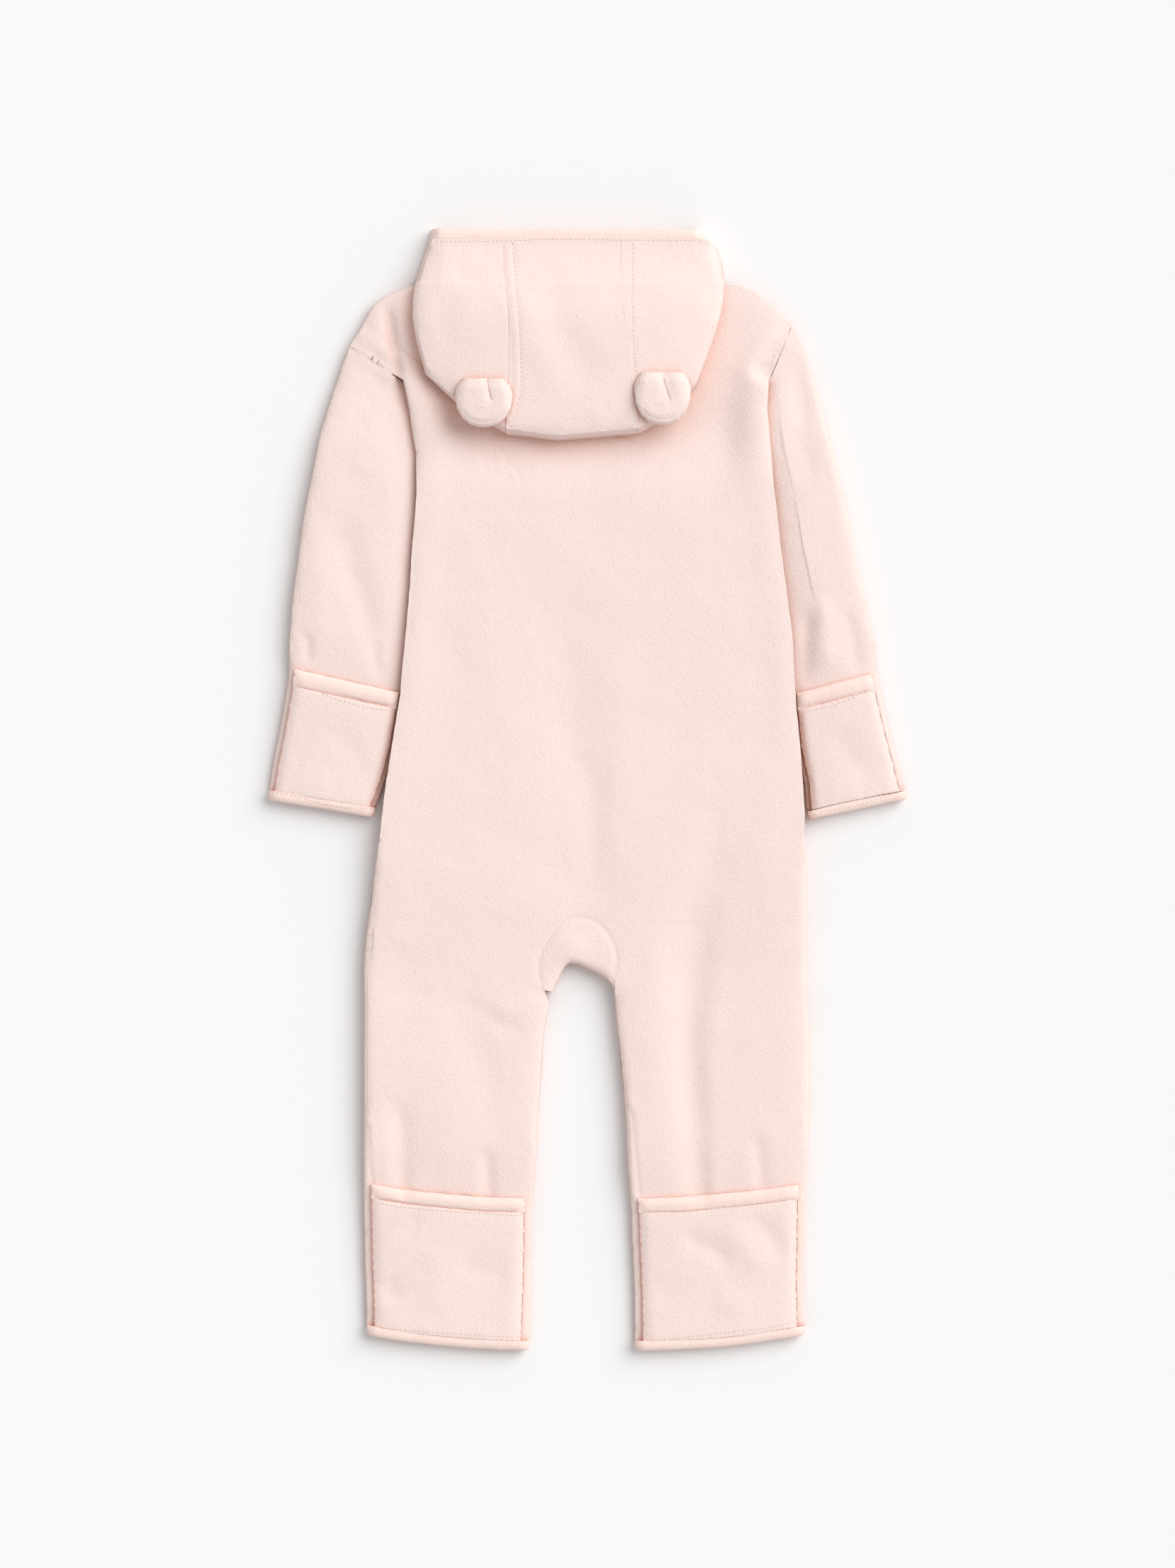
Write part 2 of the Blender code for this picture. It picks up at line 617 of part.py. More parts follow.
def make_cuff(side, cuts):
    last = cuts[-1]
    length = cut_length(last)
    way = ((last.inner_x - last.outer_x) / length, (last.inner_y - last.outer_y) / length)
    down = (-way[1], way[0]) if way[0] < 0 else (way[1], -way[0])

    def place(away, share):
        reach = SEAM + HEM_LENGTH * share
        return (
            last.outer_x + way[0] * away + down[0] * reach,
            last.outer_y + way[1] * away + down[1] * reach,
        )

    cloth = Cloth()
    cloth.grid(*hem_rows(place, length), closed=True)
    cloth.build("cuff_binding_" + side, "jersey")


def leg_edges(side, y):
    outer = between(BODY, y, side)
    inner = between(BODY, y, "inner_" + side)
    return outer, inner, (1 if side == "left" else -1)


def make_leg_hem(side):
    outer, inner, sign = leg_edges(side, LEG_END)
    length = abs(inner - outer)

    def place(away, share):
        y = LEG_END - SEAM - HEM_LENGTH * share - slant_at(clamp(away / length), LEG_END)
        return (outer + sign * away, y)

    cloth = Cloth()
    cloth.grid(*hem_rows(place, length), closed=True)
    cloth.build("leg_binding_" + side, "jersey")


BOOTIE_COLUMNS = (0.0, 0.06, 0.2, 0.35, 0.5, 0.65, 0.8, 0.94, 1.0)
BOOTIE_SIDE = 4.8        # how far in from a leg's edges the bootie is sewn
BOOTIE_CROWN = 0.9


def bootie_point(side, y, share):
    outer, inner, sign = leg_edges(side, y)
    length = abs(inner - outer)
    away = BOOTIE_SIDE + (length - 2 * BOOTIE_SIDE) * share
    return outer + sign * away, y - slant_at(away / length, y)


def make_bootie(side):
    rows = [section.y for section in BODY if section.y <= POCKET_FOLD]
    cloth = Cloth()
    outer_rows, inner_rows = [], []
    for y in rows:
        outer, inner = [], []
        for share in BOOTIE_COLUMNS:
            x, y_at = bootie_point(side, y, share)
            soft = 0.6 if share in (0.0, 1.0) else 0.0
            crown = BOOTIE_CROWN * math.sin(math.pi * share)
            outer.append((x, y_at, FLAP_LOW + FLEECE + crown - soft))
            inner.append((x, y_at, FLAP_LOW + crown))
        outer_rows.append(outer)
        inner_rows.append(inner)
    cloth.grid(outer_rows, inner_rows)
    cloth.build("bootie_flap_" + side, "fleece")

    cloth = Cloth()
    outer_rows, inner_rows = [], []
    depth = POCKET_TOP - POCKET_FOLD - SEAM
    for share_down, height in BAND_PROFILE:
        outer, inner = [], []
        for share in BOOTIE_COLUMNS:
            x, y_at = bootie_point(side, POCKET_TOP - depth * share_down, share)
            crown = BOOTIE_CROWN * math.sin(math.pi * share)
            outer.append((x, y_at, FLAP_LOW + crown + BINDING * height))
            inner.append((x, y_at, FLAP_LOW + crown))
        outer_rows.append(outer)
        inner_rows.append(inner)
    cloth.grid(outer_rows, inner_rows)
    cloth.build("bootie_binding_" + side, "jersey")


def hood_line(index, v):
    line = HOOD[index]
    bulge = line.bow * math.sin(math.pi * clamp(v) ** line.early)
    x = line.top_x + (line.bottom_x - line.top_x) * v + bulge
    return x, line.top_y + (line.bottom_y - line.top_y) * v


def hood_point(u, v):
    """A point of the hood's plan: u counts its lines from the left, v runs from face edge to crown."""
    index = min(int(u), len(HOOD) - 2)
    share = u - index
    x0, y0 = hood_line(index, v)
    x1, y1 = hood_line(index + 1, v)
    return x0 + (x1 - x0) * share, y0 + (y1 - y0) * share


def hood_top(x, y):
    """Height of the hood's outer face."""
    rise = clamp((HOOD[0].top_y - y) / 42.0)
    rise = rise * rise * (3 - 2 * rise)
    aside = (x + 12.0) / 90.0
    return HOOD_EDGE + (HOOD_CROWN - HOOD_EDGE - 3.0 * aside * aside) * rise


def hood_base(x, y):
    """Height of what the hood lies on."""
    share = clamp((NECK_UPPER - y) / (NECK_UPPER - NECK_LOWER))
    return share * (LIFT_CLEAR * lift_at(x, min(y, NECK_LOWER)) + PLUMP + HOOD_CLEAR)


def line_length(u):
    _, top = hood_point(u, 0.0)
    _, bottom = hood_point(u, 1.0)
    return top - bottom


def neck_share(u, y):
    _, top = hood_point(u, 0.0)
    return (top - y) / line_length(u)


def side_columns(start, end, rolled_at_start, rolled_at_end, middle):
    """Columns of a hood panel in u, with the inner face's own u and the share of the height."""
    columns = []
    if rolled_at_start:
        width = abs(hood_point(start + 1, 0.5)[0] - hood_point(start, 0.5)[0])
        for degrees in ROLL_STEPS:
            turn = math.radians(degrees)
            away = HOOD_ROLL * (1 - math.cos(turn))
            inside = FLEECE + (HOOD_ROLL - FLEECE) * (1 - math.cos(turn))
            columns.append((start + away / width, start + inside / width, math.sin(turn)))
    else:
        columns.append((start, start, 1.0))
    for place in middle:
        columns.append((place, place, 1.0))
    if rolled_at_end:
        width = abs(hood_point(end, 0.5)[0] - hood_point(end - 1, 0.5)[0])
        for degrees in reversed(ROLL_STEPS):
            turn = math.radians(degrees)
            away = HOOD_ROLL * (1 - math.cos(turn))
            inside = FLEECE + (HOOD_ROLL - FLEECE) * (1 - math.cos(turn))
            columns.append((end - away / width, end - inside / width, math.sin(turn)))
    else:
        columns.append((end, end, 1.0))
    return columns


def down_rows(u):
    """Rows of a hood panel in v at u, likewise."""
    length = line_length(u)
    rows = [0.0] + [neck_share(u, y) for y in (*HOOD_CORNER, NECK_UPPER, NECK_LOWER)]
    last = 1 - HOOD_ROLL / length
    lower = rows[-1]
    rows += [lower + (last - lower) * share for share in (0.2, 0.4, 0.6, 0.8)]
    rows = [(v, v, 1.0) for v in rows]
    for degrees in reversed(ROLL_STEPS):
        turn = math.radians(degrees)
        away = HOOD_ROLL * (1 - math.cos(turn))
        inside = FLEECE + (HOOD_ROLL - FLEECE) * (1 - math.cos(turn))
        rows.append((1 - away / length, 1 - inside / length, math.sin(turn)))
    return rows


def make_hood_panel(name, columns):
    cloth = Cloth()
    outer_rows, inner_rows = [], []
    for number in range(len(down_rows(0))):
        outer, inner = [], []
        for u, u_in, share_u in columns:
            v, _, share_v = down_rows(u)[number]
            _, v_in, _ = down_rows(u_in)[number]
            x, y = hood_point(u, v)
            base = hood_base(x, y)
            outer.append((x, y, base + (hood_top(x, y) - base) * share_u * share_v))
            x, y = hood_point(u_in, v_in)
            base = hood_base(x, y)
            inner.append((x, y, base + (hood_top(x, y) - FLEECE - base) * share_u * share_v))
        outer_rows.append(outer)
        inner_rows.append(inner)
    cloth.grid(outer_rows, inner_rows)
    cloth.build(name, "fleece")


def make_hood():
    half_gap = SEAM / 2 / 30.0
    left = LEFT_SEAM - half_gap
    right = RIGHT_SEAM + half_gap
    end = len(HOOD) - 1
    make_hood_panel("hood_left", side_columns(0, left, True, False, (0.55, 1.0, 1.5)))
    make_hood_panel("hood_centre", side_columns(
        LEFT_SEAM + half_gap, RIGHT_SEAM - half_gap, False, False, (2.5, 3.0, 3.5)))
    make_hood_panel("hood_right", side_columns(right, end, False, True, (4.5, 5.0, 5.5)))


# Free ends of the hood's hidden layers under its face edge: how far each passes the stitch line
HIDDEN_LAYERS = (3.6, 2.6, 1.6)
HIDDEN_LAYER = 2.9
UNDER_GAP = 0.8
UNDER_LIFT = 0.9         # more room over the back than the outer panels have


def make_hood_under():
    """The hood's hidden layers as one solid: on the surface above the neck, on the back below it."""
    inset = FLEECE + UNDER_GAP
    roll = HOOD_ROLL - inset + 1.5
    end = len(HOOD) - 1
    width_left = abs(hood_point(1, 0.5)[0] - hood_point(0, 0.5)[0])
    width_right = abs(hood_point(end, 0.5)[0] - hood_point(end - 1, 0.5)[0])
    stations = []
    for degrees in (10, 40, 65, 90):
        turn = math.radians(degrees)
        stations.append(((inset + roll * (1 - math.cos(turn))) / width_left, math.sin(turn)))
    stations += [(u, 1.0) for u in (1.0, 1.5, 2.0, 2.5, 3.0, 3.5, 4.0, 4.5, 5.0)]
    for degrees in (90, 65, 40, 10):
        turn = math.radians(degrees)
        stations.append((end - (inset + roll * (1 - math.cos(turn))) / width_right, math.sin(turn)))
    rings = []
    for u, share in stations:
        length = line_length(u)
        upper, lower = neck_share(u, NECK_UPPER), neck_share(u, NECK_LOWER)
        last = 1 - (inset + roll) / length
        points = []

        def add(v, z):
            x, y = hood_point(u, v)
            points.append((x, y, z))

        def height(v, part):
            x, y = hood_point(u, v)
            base = hood_base(x, y)
            return base + (hood_top(x, y) - FLEECE - UNDER_GAP - base) * share * part

        for degrees in (90, 60, 30):
            turn = math.radians(degrees)
            v = 1 - (inset + roll * (1 - math.cos(turn))) / length
            add(v, height(v, math.sin(turn)))
        v = 1 - inset / length
        x, y = hood_point(u, v)
        add(v, hood_base(x, y) + 0.6)
        for part in (1.0, 0.85, 0.7, 0.5, 0.0):
            v = lower + (last - lower) * part
            add(v, hood_base(*hood_point(u, v)) + UNDER_LIFT * (part > 0))
        add(upper, 0.0)
        low = 0.0
        for number, layer in enumerate(HIDDEN_LAYERS):
            reach = layer / share if 1.0 <= u <= end - 1.0 else -0.8 / share
            add(-reach * share / length, low * share)
            add(-reach * share / length, (low + HIDDEN_LAYER) * share)
            low += HIDDEN_LAYER + SEAM
            if number < len(HIDDEN_LAYERS) - 1:
                add(1.2 / length, (low - SEAM / 2) * share)
        for y_at in HOOD_CORNER:
            add(neck_share(u, y_at), height(neck_share(u, y_at), 1.0))
        add(upper, height(upper, 1.0))
        for part in (0.0, 0.3, 0.6, 0.8):
            v = lower + (last - lower) * part
            add(v, height(v, 1.0))
        rings.append(points)
    count = len(rings[0])
    points = [point for one in rings for point in one]
    faces = []
    for number in range(len(rings) - 1):
        for j in range(count):
            k = (j + 1) % count
            first, second = number * count, (number + 1) * count
            faces.append([first + j, first + k, second + k, second + j])
    faces.append(list(range(count)))
    faces.append([(len(rings) - 1) * count + j for j in range(count)])
    solid("hood_under", points, faces, "fleece")


# The face edge's binding by rows from its stitch line outwards: distance, and shares of its
# thickness above and below its middle
FACE_ROWS = ((0.3, 0.75, 0.75), (1.4, 1.0, 1.0), (3.4, 1.0, 1.0), (5.4, 0.8, 0.8), (6.6, 0.25, 0.25))
FACE_DRAWN = (1.7, 6.5)  # how much shorter its outer edge is than its stitch line, left and right


def make_hood_binding():
    cloth = Cloth()
    total = len(HOOD) - 1
    middle = [0.6] + [half / 2 for half in range(2, 2 * total - 1)] + [total - 0.6]
    columns = side_columns(0, total, True, True, middle)
    outer_rows, inner_rows = [], []
    for away, above, below in FACE_ROWS:
        outer, inner = [], []
        for u, u_in, share in columns:
            for row, place, thick in ((outer, u, BINDING / 2 * above), (inner, u_in, -BINDING / 2 * below)):
                x, y = hood_point(place, 0.0)
                side = place / total
                x += away / FACE_ROWS[-1][0] * (FACE_DRAWN[0] * (1 - side) - FACE_DRAWN[1] * side)
                height = (HOOD_EDGE - BINDING / 2 + thick) * share
                row.append((x, y + away, height))
        outer_rows.append(outer)
        inner_rows.append(inner)
    cloth.grid(outer_rows, inner_rows)
    cloth.build("hood_binding", "jersey")


def make_ear(name, ear):
    cloth = Cloth()
    outer_rows, inner_rows = [], []
    steps_across = (-1.0, -0.93, -0.75, -0.5, -0.2, 0.0, 0.2, 0.5, 0.75, 0.93, 1.0)
    steps_down = (0.0, 0.12, 0.35, 0.6, 0.82, 0.95, 1.0)
    for down in steps_down:
        outer, inner = [], []
        for across_share in steps_across:
            curve = math.sqrt(max(0.0, 1 - abs(across_share) ** EAR_ROUND))
            reach = ear.depth * (EAR_CHEEK + (1 - EAR_CHEEK) * curve)
            narrow = 1 - EAR_GATHER * (1 - down) ** 2
            x = ear.x + ear.half * across_share * narrow
            y = ear.top - reach * down
            rim = min(1 - abs(across_share), 1 - down) * ear.half / EAR_RIM
            swell = math.sqrt(clamp(1 - (1 - clamp(rim)) ** 2))
            from_tuck = (x - ear.x - ear.tuck - 4.0 * down) / 2.6
            tuck = 2.2 * math.exp(-from_tuck * from_tuck) * clamp(1 - down * 1.5)
            low = hood_top(x, max(y, ear.top - 16.0)) + 0.5
            outer.append((x, y, low + 1.6 + (EAR_THICK - 1.6) * swell - tuck))
            inner.append((x, y, low))
        outer_rows.append(outer)
        inner_rows.append(inner)
    cloth.grid(outer_rows, inner_rows)
    cloth.build(name, "fleece")


def extruded(name, section, axis, low, high, origin=(0.0, 0.0, 0.0)):
    """A solid of one section, a list of its other two coordinates, from low to high along an axis."""
    points = []
    for end in (low, high):
        for first, second in section:
            points.append((end, first, second) if axis == "x" else (first, end, second))
    count = len(section)
    faces = [list(range(count)), [count + j for j in range(count)]]
    for j in range(count):
        k = (j + 1) % count
        faces.append([j, k, count + k, count + j])
    solid(name, points, faces, "zip_metal", origin)


def make_zip():
    cloth = Cloth()
    outer_rows, inner_rows = [], []
    for step in range(ZIP_SECTIONS + 1):
        y = ZIP_TOP + (ZIP_BOTTOM - ZIP_TOP) * step / ZIP_SECTIONS
        middle = between(BODY, y, "inner_left")
        outer, inner = [], []
        for aside in (-0.5, -0.2, 0.2, 0.5):
            x = middle + ZIP_WIDTH * aside
            outer.append((x, y, ZIP_HIGH))
            inner.append((x, y, ZIP_LOW))
        outer_rows.append(outer)
        inner_rows.append(inner)
    cloth.grid(outer_rows, inner_rows)
    cloth.build("zip", "zip_tape")

    low_y = ZIP_TOP + SEAM
    middle = between(BODY, low_y, "inner_left")
    left, right = middle - SLIDER_WIDTH / 2, middle + SLIDER_WIDTH / 2
    section = [
        (left, SLIDER_LOW),
        (left + SLIDER_RAIL, SLIDER_LOW),
        (left + SLIDER_RAIL, ZIP_LOW),
        (right - SLIDER_RAIL, ZIP_LOW),
        (right - SLIDER_RAIL, SLIDER_LOW),
        (right, SLIDER_LOW),
        (right, ZIP_HIGH + SLIDER_CAP),
        (left, ZIP_HIGH + SLIDER_CAP),
    ]
    extruded("zip_slider", section, "y", low_y, low_y + SLIDER_LENGTH)

    axis_y = low_y + PULL_INSET
    half = PULL_THICK / 2
    section = []
    for degrees in range(90, -91, -30):
        turn = math.radians(degrees)
        section.append((axis_y + half * math.cos(turn), PULL_AXIS_Z + half * math.sin(turn)))
    section.append((axis_y - PULL_LENGTH, PULL_AXIS_Z - half))
    section.append((axis_y - PULL_LENGTH, PULL_AXIS_Z + half))
    half = PULL_WIDTH / 2
    extruded("zip_pull", section, "x", middle - half, middle + half, (middle, axis_y, PULL_AXIS_Z))


make_back()
make_fronts()
make_gusset()
for side, cuts in (("left", SLEEVE_LEFT), ("right", SLEEVE_RIGHT)):
    make_sleeve(side, cuts)
    make_mitt(side, cuts)
    make_cuff(side, cuts)
    make_bootie(side)
    make_leg_hem(side)
make_hood()
make_hood_under()
make_hood_binding()
for name, ear in EARS.items():
    make_ear(name, ear)
make_zip()
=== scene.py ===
import math
import bpy
import numpy as np
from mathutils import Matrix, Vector
from mathutils.bvhtree import BVHTree


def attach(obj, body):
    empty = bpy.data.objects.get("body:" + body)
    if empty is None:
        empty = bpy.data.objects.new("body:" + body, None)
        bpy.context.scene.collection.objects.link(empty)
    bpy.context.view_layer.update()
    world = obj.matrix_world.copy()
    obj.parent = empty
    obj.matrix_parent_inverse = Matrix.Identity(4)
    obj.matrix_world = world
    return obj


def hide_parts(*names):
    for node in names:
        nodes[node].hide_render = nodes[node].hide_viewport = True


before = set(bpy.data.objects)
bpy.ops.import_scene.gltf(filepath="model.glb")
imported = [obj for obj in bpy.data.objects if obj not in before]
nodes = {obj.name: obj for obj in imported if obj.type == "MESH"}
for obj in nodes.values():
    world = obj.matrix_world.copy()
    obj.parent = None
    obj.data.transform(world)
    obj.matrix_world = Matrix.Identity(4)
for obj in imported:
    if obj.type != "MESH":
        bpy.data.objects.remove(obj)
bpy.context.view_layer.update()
print("suit loaded:", len(nodes), "pieces")

# the camera looks straight down, as the photo does
studio = {
    "viewMiddle": (0.0, 0.0034),       # metres
    "viewHeight": 0.929,               # how much of the floor the long side takes in
    "cameraHeight": 4.5,
    "keyFrom": (1.0, 0.75, 1.15),      # the window light, from the right and a little above
    "keyStrength": 2.40,
    "keySoftness": 52.0,               # degrees across
    "fillStrength": 0.585,
    "floorColour": (0.855, 0.855, 0.855),
}


def makeStudio(sizes):
    camera = bpy.data.objects.new("camera", bpy.data.cameras.new("camera"))
    camera.location = (*sizes["viewMiddle"], sizes["cameraHeight"])
    camera.data.lens = 36.0 * sizes["cameraHeight"] / sizes["viewHeight"]
    camera.data.clip_end = 60.0
    bpy.context.scene.collection.objects.link(camera)
    bpy.context.scene.camera = camera
    key = bpy.data.objects.new("windowLight", bpy.data.lights.new("windowLight", "SUN"))
    key.data.energy = sizes["keyStrength"]
    key.data.angle = math.radians(sizes["keySoftness"])
    key.rotation_euler = Vector(sizes["keyFrom"]).to_track_quat("Z", "Y").to_euler()
    bpy.context.scene.collection.objects.link(key)
    world = bpy.data.worlds.new("room")
    world.use_nodes = True
    world.node_tree.nodes["Background"].inputs["Color"].default_value = (1.0, 1.0, 1.0, 1.0)
    world.node_tree.nodes["Background"].inputs["Strength"].default_value = sizes["fillStrength"]
    bpy.context.scene.world = world
    bpy.context.scene.view_settings.view_transform = "Standard"
    mesh = bpy.data.meshes.new("floor")
    corners = [(-9, -9, -0.0002), (9, -9, -0.0002), (9, 9, -0.0002), (-9, 9, -0.0002)]
    mesh.from_pydata(corners, [], [(0, 1, 2, 3)])
    floor = bpy.data.objects.new("floor", mesh)
    bpy.context.scene.collection.objects.link(floor)
    card = bpy.data.materials.new("paleCard")
    card.use_nodes = True
    shader = card.node_tree.nodes["Principled BSDF"]
    shader.inputs["Base Color"].default_value = (*sizes["floorColour"], 1.0)
    shader.inputs["Roughness"].default_value = 0.9
    shader.inputs["Specular IOR Level"].default_value = 0.1
    mesh.materials.append(card)


makeStudio(studio)
print("camera, light and floor ready")

# what each cloth looks like
fleeceLook = {
    "pale": (0.898, 0.731, 0.681),
    "deep": (0.880, 0.676, 0.618),
    "napSize": 0.8,         # mm between the tips of the nap
    "pillSize": 2.1,        # mm between the small balls of fibre
    "cloudSize": 42.0,      # mm across the faint cloudiness
    "napHeight": 0.34,      # mm
    "sheen": 0.12,
    "paintedShadeColour": (0.86, 0.65, 0.57),    # painted shade: share of the colour left where cloth lies close around
    "paintedShadeReach": 0.028,              # metres out to which nearby cloth casts the painted shade
}
jerseyLook = {
    "pale": (0.925, 0.745, 0.685),
    "deep": (0.90, 0.685, 0.615),
    "stitchSize": 0.75,     # mm across a knit stitch
    "stitchHeight": 0.16,
    "grainSize": 1.6,
    "sheen": 0.10,
    # painted shade where cloth lies close around, as on the fleece
    "paintedShadeColour": (0.92, 0.78, 0.72),
    "paintedShadeReach": 0.012,
}
threadLook = {"pale": (0.90, 0.74, 0.68), "deep": (0.78, 0.58, 0.51), "twistSize": 0.5, "twistHeight": 0.08}
tapeLook = {"pale": (0.88, 0.72, 0.66), "deep": (0.76, 0.58, 0.51), "weaveScale": 420.0, "weaveHeight": 0.12}
metalLook = {"colour": (0.78, 0.76, 0.75), "roughness": 0.32, "grainSize": 0.6, "grainHeight": 0.02}


def newFinish(name):
    finish = bpy.data.materials.new(name)
    finish.use_nodes = True
    tree = finish.node_tree
    return finish, tree, tree.nodes["Principled BSDF"]


def speckle(tree, place, size, detail=2.0, roughness=0.55, distortion=0.0):
    # soft grain, with the size of one grain in millimetres
    grain = tree.nodes.new("ShaderNodeTexNoise")
    grain.inputs["Scale"].default_value = 1000.0 / size
    grain.inputs["Detail"].default_value = detail
    grain.inputs["Roughness"].default_value = roughness
    grain.inputs["Distortion"].default_value = distortion
    tree.links.new(place, grain.inputs["Vector"])
    return grain.outputs["Fac"]


def sums(tree, first, second, amount):
    add = tree.nodes.new("ShaderNodeMath")
    add.operation = "MULTIPLY_ADD"
    tree.links.new(second, add.inputs[0])
    add.inputs[1].default_value = amount
    tree.links.new(first, add.inputs[2])
    return add.outputs[0]


def between(tree, driver, low, high, first, second):
    # colour that runs from first to second while the driver runs from low to high
    ramp = tree.nodes.new("ShaderNodeValToRGB")
    ramp.color_ramp.elements[0].position = low
    ramp.color_ramp.elements[0].color = (*first, 1.0)
    ramp.color_ramp.elements[1].position = high
    ramp.color_ramp.elements[1].color = (*second, 1.0)
    tree.links.new(driver, ramp.inputs["Fac"])
    return ramp.outputs["Color"]


def paintedShade(tree, colour, look):
    # painted shade: the colour turns a darker, fuller pink where other cloth lies close around, standing in
    # for the shade and pink bounce light in folds, seams and under the hood
    paintedShadeMask = tree.nodes.new("ShaderNodeAmbientOcclusion")
    paintedShadeMask.samples = 8
    paintedShadeMask.inputs["Distance"].default_value = look["paintedShadeReach"]
    tint = between(tree, paintedShadeMask.outputs["AO"], 0.25, 0.92, look["paintedShadeColour"], (1.0, 1.0, 1.0))
    both = tree.nodes.new("ShaderNodeVectorMath")
    both.operation = "MULTIPLY"
    tree.links.new(colour, both.inputs[0])
    tree.links.new(tint, both.inputs[1])
    return both.outputs["Vector"]


def raised(tree, height, shader, distance):
    bump = tree.nodes.new("ShaderNodeBump")
    bump.inputs["Distance"].default_value = distance / 1000.0
    bump.inputs["Strength"].default_value = 1.0
    tree.links.new(height, bump.inputs["Height"])
    tree.links.new(bump.outputs["Normal"], shader.inputs["Normal"])


def fleeceFinish(look):
    finish, tree, shader = newFinish("brushedFleece")
    place = tree.nodes.new("ShaderNodeTexCoord").outputs["Object"]
    nap = speckle(tree, place, look["napSize"], 3.0, 0.7, 0.4)
    pills = speckle(tree, place, look["pillSize"], 2.0, 0.6, 0.8)
    clouds = speckle(tree, place, look["cloudSize"], 2.0, 0.5)
    height = sums(tree, nap, pills, 1.0)
    mix = sums(tree, sums(tree, nap, pills, 0.8), clouds, 0.9)
    colour = between(tree, mix, 0.85, 1.75, look["deep"], look["pale"])
    # the base colour carries painted shade in folds and under the hood
    tree.links.new(paintedShade(tree, colour, look), shader.inputs["Base Color"])
    shader.inputs["Roughness"].default_value = 0.95
    shader.inputs["Specular IOR Level"].default_value = 0.15
    shader.inputs["Sheen Weight"].default_value = look["sheen"]
    shader.inputs["Sheen Roughness"].default_value = 0.42
    shader.inputs["Sheen Tint"].default_value = (1.0, 0.93, 0.90, 1.0)
    raised(tree, height, shader, look["napHeight"])
    return finish


def jerseyFinish(look):
    finish, tree, shader = newFinish("knittedBinding")
    place = tree.nodes.new("ShaderNodeTexCoord").outputs["Object"]
    loops = tree.nodes.new("ShaderNodeTexVoronoi")
    loops.inputs["Scale"].default_value = 1000.0 / look["stitchSize"]
    loops.inputs["Randomness"].default_value = 0.45
    tree.links.new(place, loops.inputs["Vector"])
    grain = speckle(tree, place, look["grainSize"], 2.0, 0.6)
    mix = sums(tree, grain, loops.outputs["Distance"], -0.4)
    colour = between(tree, mix, 0.1, 0.6, look["deep"], look["pale"])
    # the base colour carries painted shade where cloth lies close around
    tree.links.new(paintedShade(tree, colour, look), shader.inputs["Base Color"])
    shader.inputs["Roughness"].default_value = 0.85
    shader.inputs["Specular IOR Level"].default_value = 0.22
    shader.inputs["Sheen Weight"].default_value = look["sheen"]
    shader.inputs["Sheen Roughness"].default_value = 0.5
    raised(tree, mix, shader, look["stitchHeight"])
    return finish


def threadFinish(look):
    finish, tree, shader = newFinish("sewingThread")
    place = tree.nodes.new("ShaderNodeTexCoord").outputs["Object"]
    twist = speckle(tree, place, look["twistSize"], 1.0, 0.5)
    colour = between(tree, twist, 0.3, 0.7, look["deep"], look["pale"])
    tree.links.new(colour, shader.inputs["Base Color"])
    shader.inputs["Roughness"].default_value = 0.6
    raised(tree, twist, shader, look["twistHeight"])
    return finish


def tapeFinish(look):
    finish, tree, shader = newFinish("wovenTape")
    place = tree.nodes.new("ShaderNodeTexCoord").outputs["Object"]
    weave = tree.nodes.new("ShaderNodeTexWave")
    weave.wave_type = "BANDS"
    weave.bands_direction = "DIAGONAL"
    weave.inputs["Scale"].default_value = look["weaveScale"]
    weave.inputs["Distortion"].default_value = 1.5
    tree.links.new(place, weave.inputs["Vector"])
    colour = between(tree, weave.outputs["Fac"], 0.1, 0.9, look["deep"], look["pale"])
    tree.links.new(colour, shader.inputs["Base Color"])
    shader.inputs["Roughness"].default_value = 0.8
    raised(tree, weave.outputs["Fac"], shader, look["weaveHeight"])
    return finish


def metalFinish(look):
    finish, tree, shader = newFinish("satinMetal")
    place = tree.nodes.new("ShaderNodeTexCoord").outputs["Object"]
    grain = speckle(tree, place, look["grainSize"], 3.0, 0.6)
    shader.inputs["Base Color"].default_value = (*look["colour"], 1.0)
    shader.inputs["Metallic"].default_value = 1.0
    shader.inputs["Roughness"].default_value = look["roughness"]
    raised(tree, grain, shader, look["grainHeight"])
    return finish


fleece = fleeceFinish(fleeceLook)
jersey = jerseyFinish(jerseyLook)
thread = threadFinish(threadLook)
tape = tapeFinish(tapeLook)
metal = metalFinish(metalLook)
print("finishes mixed")

# How the cloth lies: heights and widths in mm, each along a line of (x, y) points in mm.
# A fold is (rise at its middle, width where it starts, width where it ends, line).

